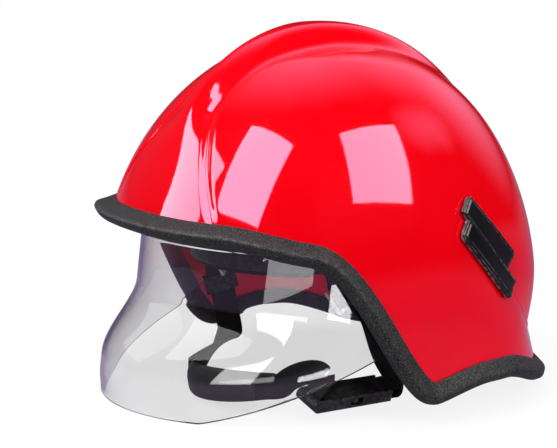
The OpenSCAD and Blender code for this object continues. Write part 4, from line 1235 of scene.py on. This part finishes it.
def plastic(name, tone, paler, rough, grain_size, depth, **more):
    """Moulded plastic in a grey tone, lighter at its sharp edges, with a little dust: the lighter edges are
    wear on most parts, and a painted highlight on the clip plates.
    """
    f = Finish(name, Specular_IOR_Level=0.25, **more)
    grain = f.grain(grain_size, 0.02)
    colour = f.blend(f.times(grain["Cloud"], 0.35), tone, tone * 1.3 + 0.002)
    # Paler sharp edges: wear on most parts, but on the clip plates a painted highlight along the fold ridge
    # and the rims.
    mask = f.times(f.edge(0.6, 0.003), 0.6)
    dusty = f.blend(f.use("dust", Amount=0.04)["Mask"], f.blend(mask, colour, paler), 0.32)
    matte = f.span(grain["Cloud"], 0, 1, rough - 0.04, rough + 0.05)
    return f.cover(dusty, f.plus(matte, f.times(mask, -0.1)), grain["Height"], 0.35, depth)


def trim_rubber():
    f = Finish("speckled_rubber", Specular_IOR_Level=0.16)
    grain = f.grain(0.0006, 0.012)
    tone = f.blend(grain["Cloud"], 0.010, 0.018)
    return f.layered((grain["Speck"], tone, 0.14), (f.edge(0.7, 0.004), 0.5, 0.13),
                     (grain["Speck"], 0.62, 0.5), grain["Height"], 0.5, 0.00015)


def webbing():
    f = Finish("black_webbing", Sheen_Weight=0.02, Sheen_Roughness=0.4, Specular_IOR_Level=0.15)
    weave = f.use("weave", Rib_Width=0.0018, Pick_Length=0.0013)
    return f.layered((weave["Thread"], 0.002, 0.009), (f.knit(0.0009)["Lint"], 0.25, 0.025),
                     (weave["Thread"], 0.82, 0.62), weave["Height"], 0.6, 0.0003)


def pad_fabric():
    f = Finish("knitted_pad_cloth", Sheen_Weight=0.03, Sheen_Roughness=0.5, Specular_IOR_Level=0.15)
    knit, cloud = f.knit(0.0010), f.grain(0.002, 0.018)["Cloud"]
    return f.layered((cloud, 0.003, 0.007), (knit["Lint"], 0.3, 0.02),
                     (knit["Lint"], 0.9, 0.75), knit["Height"], 0.6, 0.0003)


def sewing_thread():
    f = Finish("waxed_thread", Sheen_Weight=0.1, Specular_IOR_Level=0.3)
    lint = f.knit(0.0004)["Lint"]
    return f.cover(f.blend(lint, 0.035, 0.09), f.span(lint, 0, 1, 0.7, 0.5))


def leather():
    f = Finish("black_leather", Specular_IOR_Level=0.3)
    grain = f.grain(0.0013, 0.015)
    return f.layered((grain["Cloud"], 0.005, 0.012), (f.edge(0.8, 0.003), 0.4, 0.08),
                     (grain["Cloud"], 0.42, 0.55), grain["Height"], 0.5, 0.00025)


def piping():
    f = Finish("silver_piping", Sheen_Weight=0.2, Specular_IOR_Level=0.6)
    twist = f.weave_place()
    ply = f.wave(f.plus(f.times(twist[0], 133.0), f.times(twist[1], 700.0)))
    f.put(f.shader, "Metallic", f.span(ply, 0, 1, 0.2, 0.5))
    return f.layered((ply, 0.36, 0.62), (f.knit(0.0006)["Lint"], 0.35, 0.8),
                     (ply, 0.6, 0.38), ply, 0.5, 0.0003)


def steel(name, tint, rough):
    f = Finish(name, Metallic=1.0)
    grain = f.grain(0.0004, 0.004)
    dull = rgba(*(0.7 * c for c in tint[:3]))
    return f.layered((grain["Cloud"], tint, dull), (f.edge(0.6, 0.002), 0.6, 0.8),
                     (grain["Cloud"], rough, rough + 0.15), grain["Height"], 0.15, 0.00005)


def foam():
    f = Finish("moulded_foam", Specular_IOR_Level=0.12)
    bead = f.span(f.cells(330.0, "DISTANCE_TO_EDGE"), 0.0, 0.16)
    tone = f.blend(f.grain(0.0009, 0.03)["Cloud"], 0.004, 0.007)
    return f.cover(f.blend(f.rest(bead), tone, 0.004), f.span(bead, 0, 1, 0.85, 0.6), bead, 0.4, 0.0003)


def clear_lens():
    """Clear polycarbonate, with lamps let through it so that what is behind keeps its light."""
    f = Finish("clear_polycarbonate", Transmission_Weight=1.0, IOR=1.5, Metallic=0.0, Specular_IOR_Level=0.22)
    haze = f.noise(45.0, 4.0)
    f.cover(f.blend(f.span(haze, 0.3, 0.7), 0.81, 0.84), f.span(haze, 0.35, 0.75, 0.0, 0.02))
    clear = f.add("BsdfTransparent", grey(0.75))
    lamp_ray = f.add("LightPath").outputs["Is Shadow Ray"]
    mixed = f.add("MixShader", lamp_ray, f.shader.outputs[0], clear.outputs[0])
    f.put(f.nodes["Material Output"], "Surface", mixed.outputs[0])
    return f.material


FINISHES = {
    "shell_paint": shell_paint(),
    "trim_rubber": trim_rubber(),
    "liner_foam": foam(),
    "webbing": webbing(),
    "pad_fabric": pad_fabric(),
    "piping": piping(),
    "clip_plastic": plastic("clip_nylon", 0.010, 0.08, 0.45, 0.0009, 0.0001),
    "band_plastic": plastic("band_polypropylene", 0.008, 0.07, 0.40, 0.0012, 0.00008),
    "gear_metal": steel("pinion_steel", rgba(0.56, 0.55, 0.53), 0.3),
    "knob_plastic": plastic("knob_nylon", 0.026, 0.14, 0.50, 0.0007, 0.00015),
    "screw_steel": steel("screw_steel", rgba(0.60, 0.60, 0.61), 0.24),
    "lens": clear_lens(),
    "bush_plastic": plastic("bush_acetal", 0.03, 0.1, 0.35, 0.001, 0.00005),
    # Clip plates: their pale edge tone of 0.42 is a painted highlight along the fold ridge and the rims, not
    # wear.
    "bracket_plastic": plastic("bracket_nylon", 0.003, 0.42, 0.32, 0.0008, 0.00004, Coat_Weight=0.15,
                               Coat_Roughness=0.12),
    "buckle_plastic": plastic("buckle_acetal", 0.006, 0.10, 0.34, 0.0006, 0.00004),
    "cup_leather": leather(),
    "thread": sewing_thread(),
}

# The solids that stay in view as they are
KEPT_NODES = {
    "band_plastic": ("band_tail_left", "band_tail_right"),
    "gear_metal": ("pinion",),
    "screw_steel": ("knob_screw", "bracket_screws", "bracket_washers", "clip_rivets", "friction_washers"),
    "bush_plastic": ("visor_bushes",),
}


def finish_surfaces():
    """Gives every piece its slot's material, the kept nodes of the solids too."""
    for slot, nodes in KEPT_NODES.items():
        for node in nodes:
            for place in frame["nodes"][node].material_slots:
                place.material = FINISHES[slot]
    for obj in bpy.context.scene.objects:
        if obj.type == "MESH" and obj.get("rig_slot"):
            obj.data.materials.clear()
            obj.data.materials.append(FINISHES[obj.get("finish", obj["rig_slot"])])


# Camera, floor and light, with their sizes in metres

STUDIO_Z = 0.12


def aim(obj, place, target, roll=0.0):
    back = (Vector(place) - Vector(target)).normalized()
    right = UP.cross(back).normalized()
    up = back.cross(right)
    turned = Matrix((right * cos_d(roll) + up * sin_d(roll), up * cos_d(roll) - right * sin_d(roll), back))
    m = turned.transposed().to_4x4()
    m.translation = place
    obj.matrix_world = m


def direction(azimuth, elevation):
    """Unit vector to a place in the studio."""
    return around(azimuth, cos_d(elevation), z=sin_d(elevation))


def make_camera():
    """Camera as it was fitted to the photograph: its target in metres, its focal length in pixels."""
    azimuth, elevation, roll, focal, photo_w, film_w = 54.1028, 9.5366, 2.1781, 1473.75, 557, 36.0
    target = Vector((-0.024463, -0.028381, 0.101742))
    data = bpy.data.cameras.new("photo_camera")
    data.sensor_width, data.lens, data.clip_end = film_w, focal * film_w / photo_w, 20.0
    camera = link("photo_camera", data)
    aim(camera, target + direction(azimuth, elevation), target, roll)
    bpy.context.scene.camera = camera


def softbox(name, azimuth, elevation, away, width, height, radiance, roll=0.0, mirrored=True, for_visor=False):
    """Panel that faces the helmet: a mirrored one only shows in glossy surfaces, any other only lights."""
    data = bpy.data.lights.new(name, "AREA")
    data.shape, data.size, data.size_y = "RECTANGLE", width, height
    data.energy = radiance * math.pi * width * height
    lamp = link(name, data)
    out = direction(azimuth, elevation)
    place = away * out + STUDIO_Z * UP
    aim(lamp, place, place - out, roll)
    lamp.visible_camera, lamp.visible_diffuse, lamp.visible_glossy = False, not mirrored, mirrored
    if mirrored:
        lit = bpy.data.collections.new(name + "_reach")
        lit.objects.link(bpy.data.objects["clear_visor"])
        if not for_visor:
            lit.collection_objects[0].light_linking.link_state = "EXCLUDE"
        lamp.light_linking.receiver_collection = lit


def light_table(net):
    """Masks of rays: seen straight or through glass by the camera, mirrored, and all others."""
    path = net.add("LightPath").outputs
    straight = net.rest(net.plus(path["Diffuse Depth"], path["Glossy Depth"]), clamp=True)
    seen = net.math("MAXIMUM", path["Is Camera Ray"], net.times(path["Is Transmission Ray"], straight))
    glossy = net.times(path["Is Glossy Ray"], net.rest(seen))
    return seen, glossy, net.rest(net.math("MAXIMUM", seen, glossy))


def soft_glow(net, azimuth, elevation, spread, radiance):
    """Soft patch of the studio that only mirror-like surfaces see."""
    place = net.add("VectorMath", net.place("Generated"), tuple(direction(azimuth, elevation)),
                    operation="DOT_PRODUCT")
    reach = net.span(place.outputs["Value"], cos_d(spread), 1.0)
    return net.times(net.times(reach, reach), radiance)


def make_world():
    world = bpy.data.worlds.new("studio")
    bpy.context.scene.world = world
    world.use_nodes = True
    net = Net(world.node_tree)
    seen, glossy, other = light_table(net)
    in_gloss = net.span(net.parts(net.place("Generated"))[2], 0.0, 0.09, 0.26, 0.02)
    for patch in ((-126, 66, 40, 1.9), (-168, 34, 32, 1.7), (-80, 24, 44, 0.12), (152, 40, 12, 1.4)):
        in_gloss = net.plus(in_gloss, soft_glow(net, *patch))
    lit = net.plus(net.times(glossy, in_gloss), net.times(other, 0.42))
    net.fill(net.nodes["Background"], Color=net.blend(glossy, 1.0, rgba(0.80, 0.68, 1.0)),
             Strength=net.math("MAXIMUM", seen, lit))


def make_floor():
    """Round pale table that takes the helmet's soft shadow and fades into the white round it."""
    radius, drop, sides, fade_from, fade_to = 1.4, 0.0002, 72, 0.22, 0.5
    rim = [(radius * sin_d(360 * k / sides), radius * cos_d(360 * k / sides), -drop) for k in range(sides)]
    mesh = bpy.data.meshes.new("studio_table")
    mesh.from_pydata([(0.0, 0.0, -drop)] + rim, [], [(0, 1 + (k + 1) % sides, 1 + k) for k in range(sides)])
    floor = link("studio_table", mesh)
    material = bpy.data.materials.new("pale_table")
    material.use_nodes = True
    net = Net(material.node_tree)
    net.nodes.remove(net.nodes["Principled BSDF"])
    distance = net.add("VectorMath", net.place(), operation="LENGTH")
    faded = net.span(distance.outputs["Value"], fade_from, fade_to)
    cloud = net.span(net.noise(9.0), 0.3, 0.7, 0.145, 0.155)
    matte = net.add("BsdfDiffuse", net.times(cloud, net.rest(faded)))
    seen, glossy, other = light_table(net)
    to_eye = net.times(seen, net.span(faded, 0, 1, 0.855, 1.0))
    shine = net.plus(net.plus(to_eye, net.times(glossy, 0.30)), net.times(other, 0.4))
    glow = net.add("Emission", net.blend(glossy, 1.0, rgba(0.72, 0.55, 1.0)), shine)
    both = net.add("AddShader", matte.outputs[0], glow.outputs[0])
    net.put(net.nodes["Material Output"], "Surface", both.outputs[0])
    mesh.materials.append(material)


def make_lights():
    softbox("front_panel", 21, 43, 1.3, 0.80, 0.90, 13.0, roll=-5)
    softbox("left_panel", -27, 24, 1.3, 0.74, 0.85, 11.0)
    softbox("side_panel", 113, 39, 1.3, 0.60, 0.68, 10.5, roll=-16)
    softbox("visor_card", 42, 3, 1.5, 0.56, 0.95, 6.0, roll=-8, for_visor=True)
    softbox("visor_tab_card", 71.3, -12.7, 0.47, 0.085, 0.03, 9.0, for_visor=True)
    softbox("visor_strip_card", 45.5, -7.3, 0.53, 0.22, 0.05, 3.0, for_visor=True)
    softbox("key_lamp", 10, 50, 1.6, 1.4, 1.0, 4.1, mirrored=False)
    softbox("side_lamp", 100, 30, 1.6, 1.3, 0.9, 3.2, mirrored=False)
    softbox("left_lamp", -50, 30, 1.6, 1.0, 0.9, 1.8, mirrored=False)
    softbox("rear_lamp", -150, 45, 1.6, 1.2, 0.8, 0.8, mirrored=False)


for step in (make_shell, make_trim, make_liner, make_headband, make_crown_cradle, make_pads, make_piping,
             make_chin_straps, make_chin_cup, make_chin_cushion, make_lens, make_brackets, make_moulded_parts,
             make_knob, make_stitches, finish_surfaces, make_camera, make_world, make_floor, make_lights):
    step()

bpy.context.scene.view_settings.view_transform = "Standard"
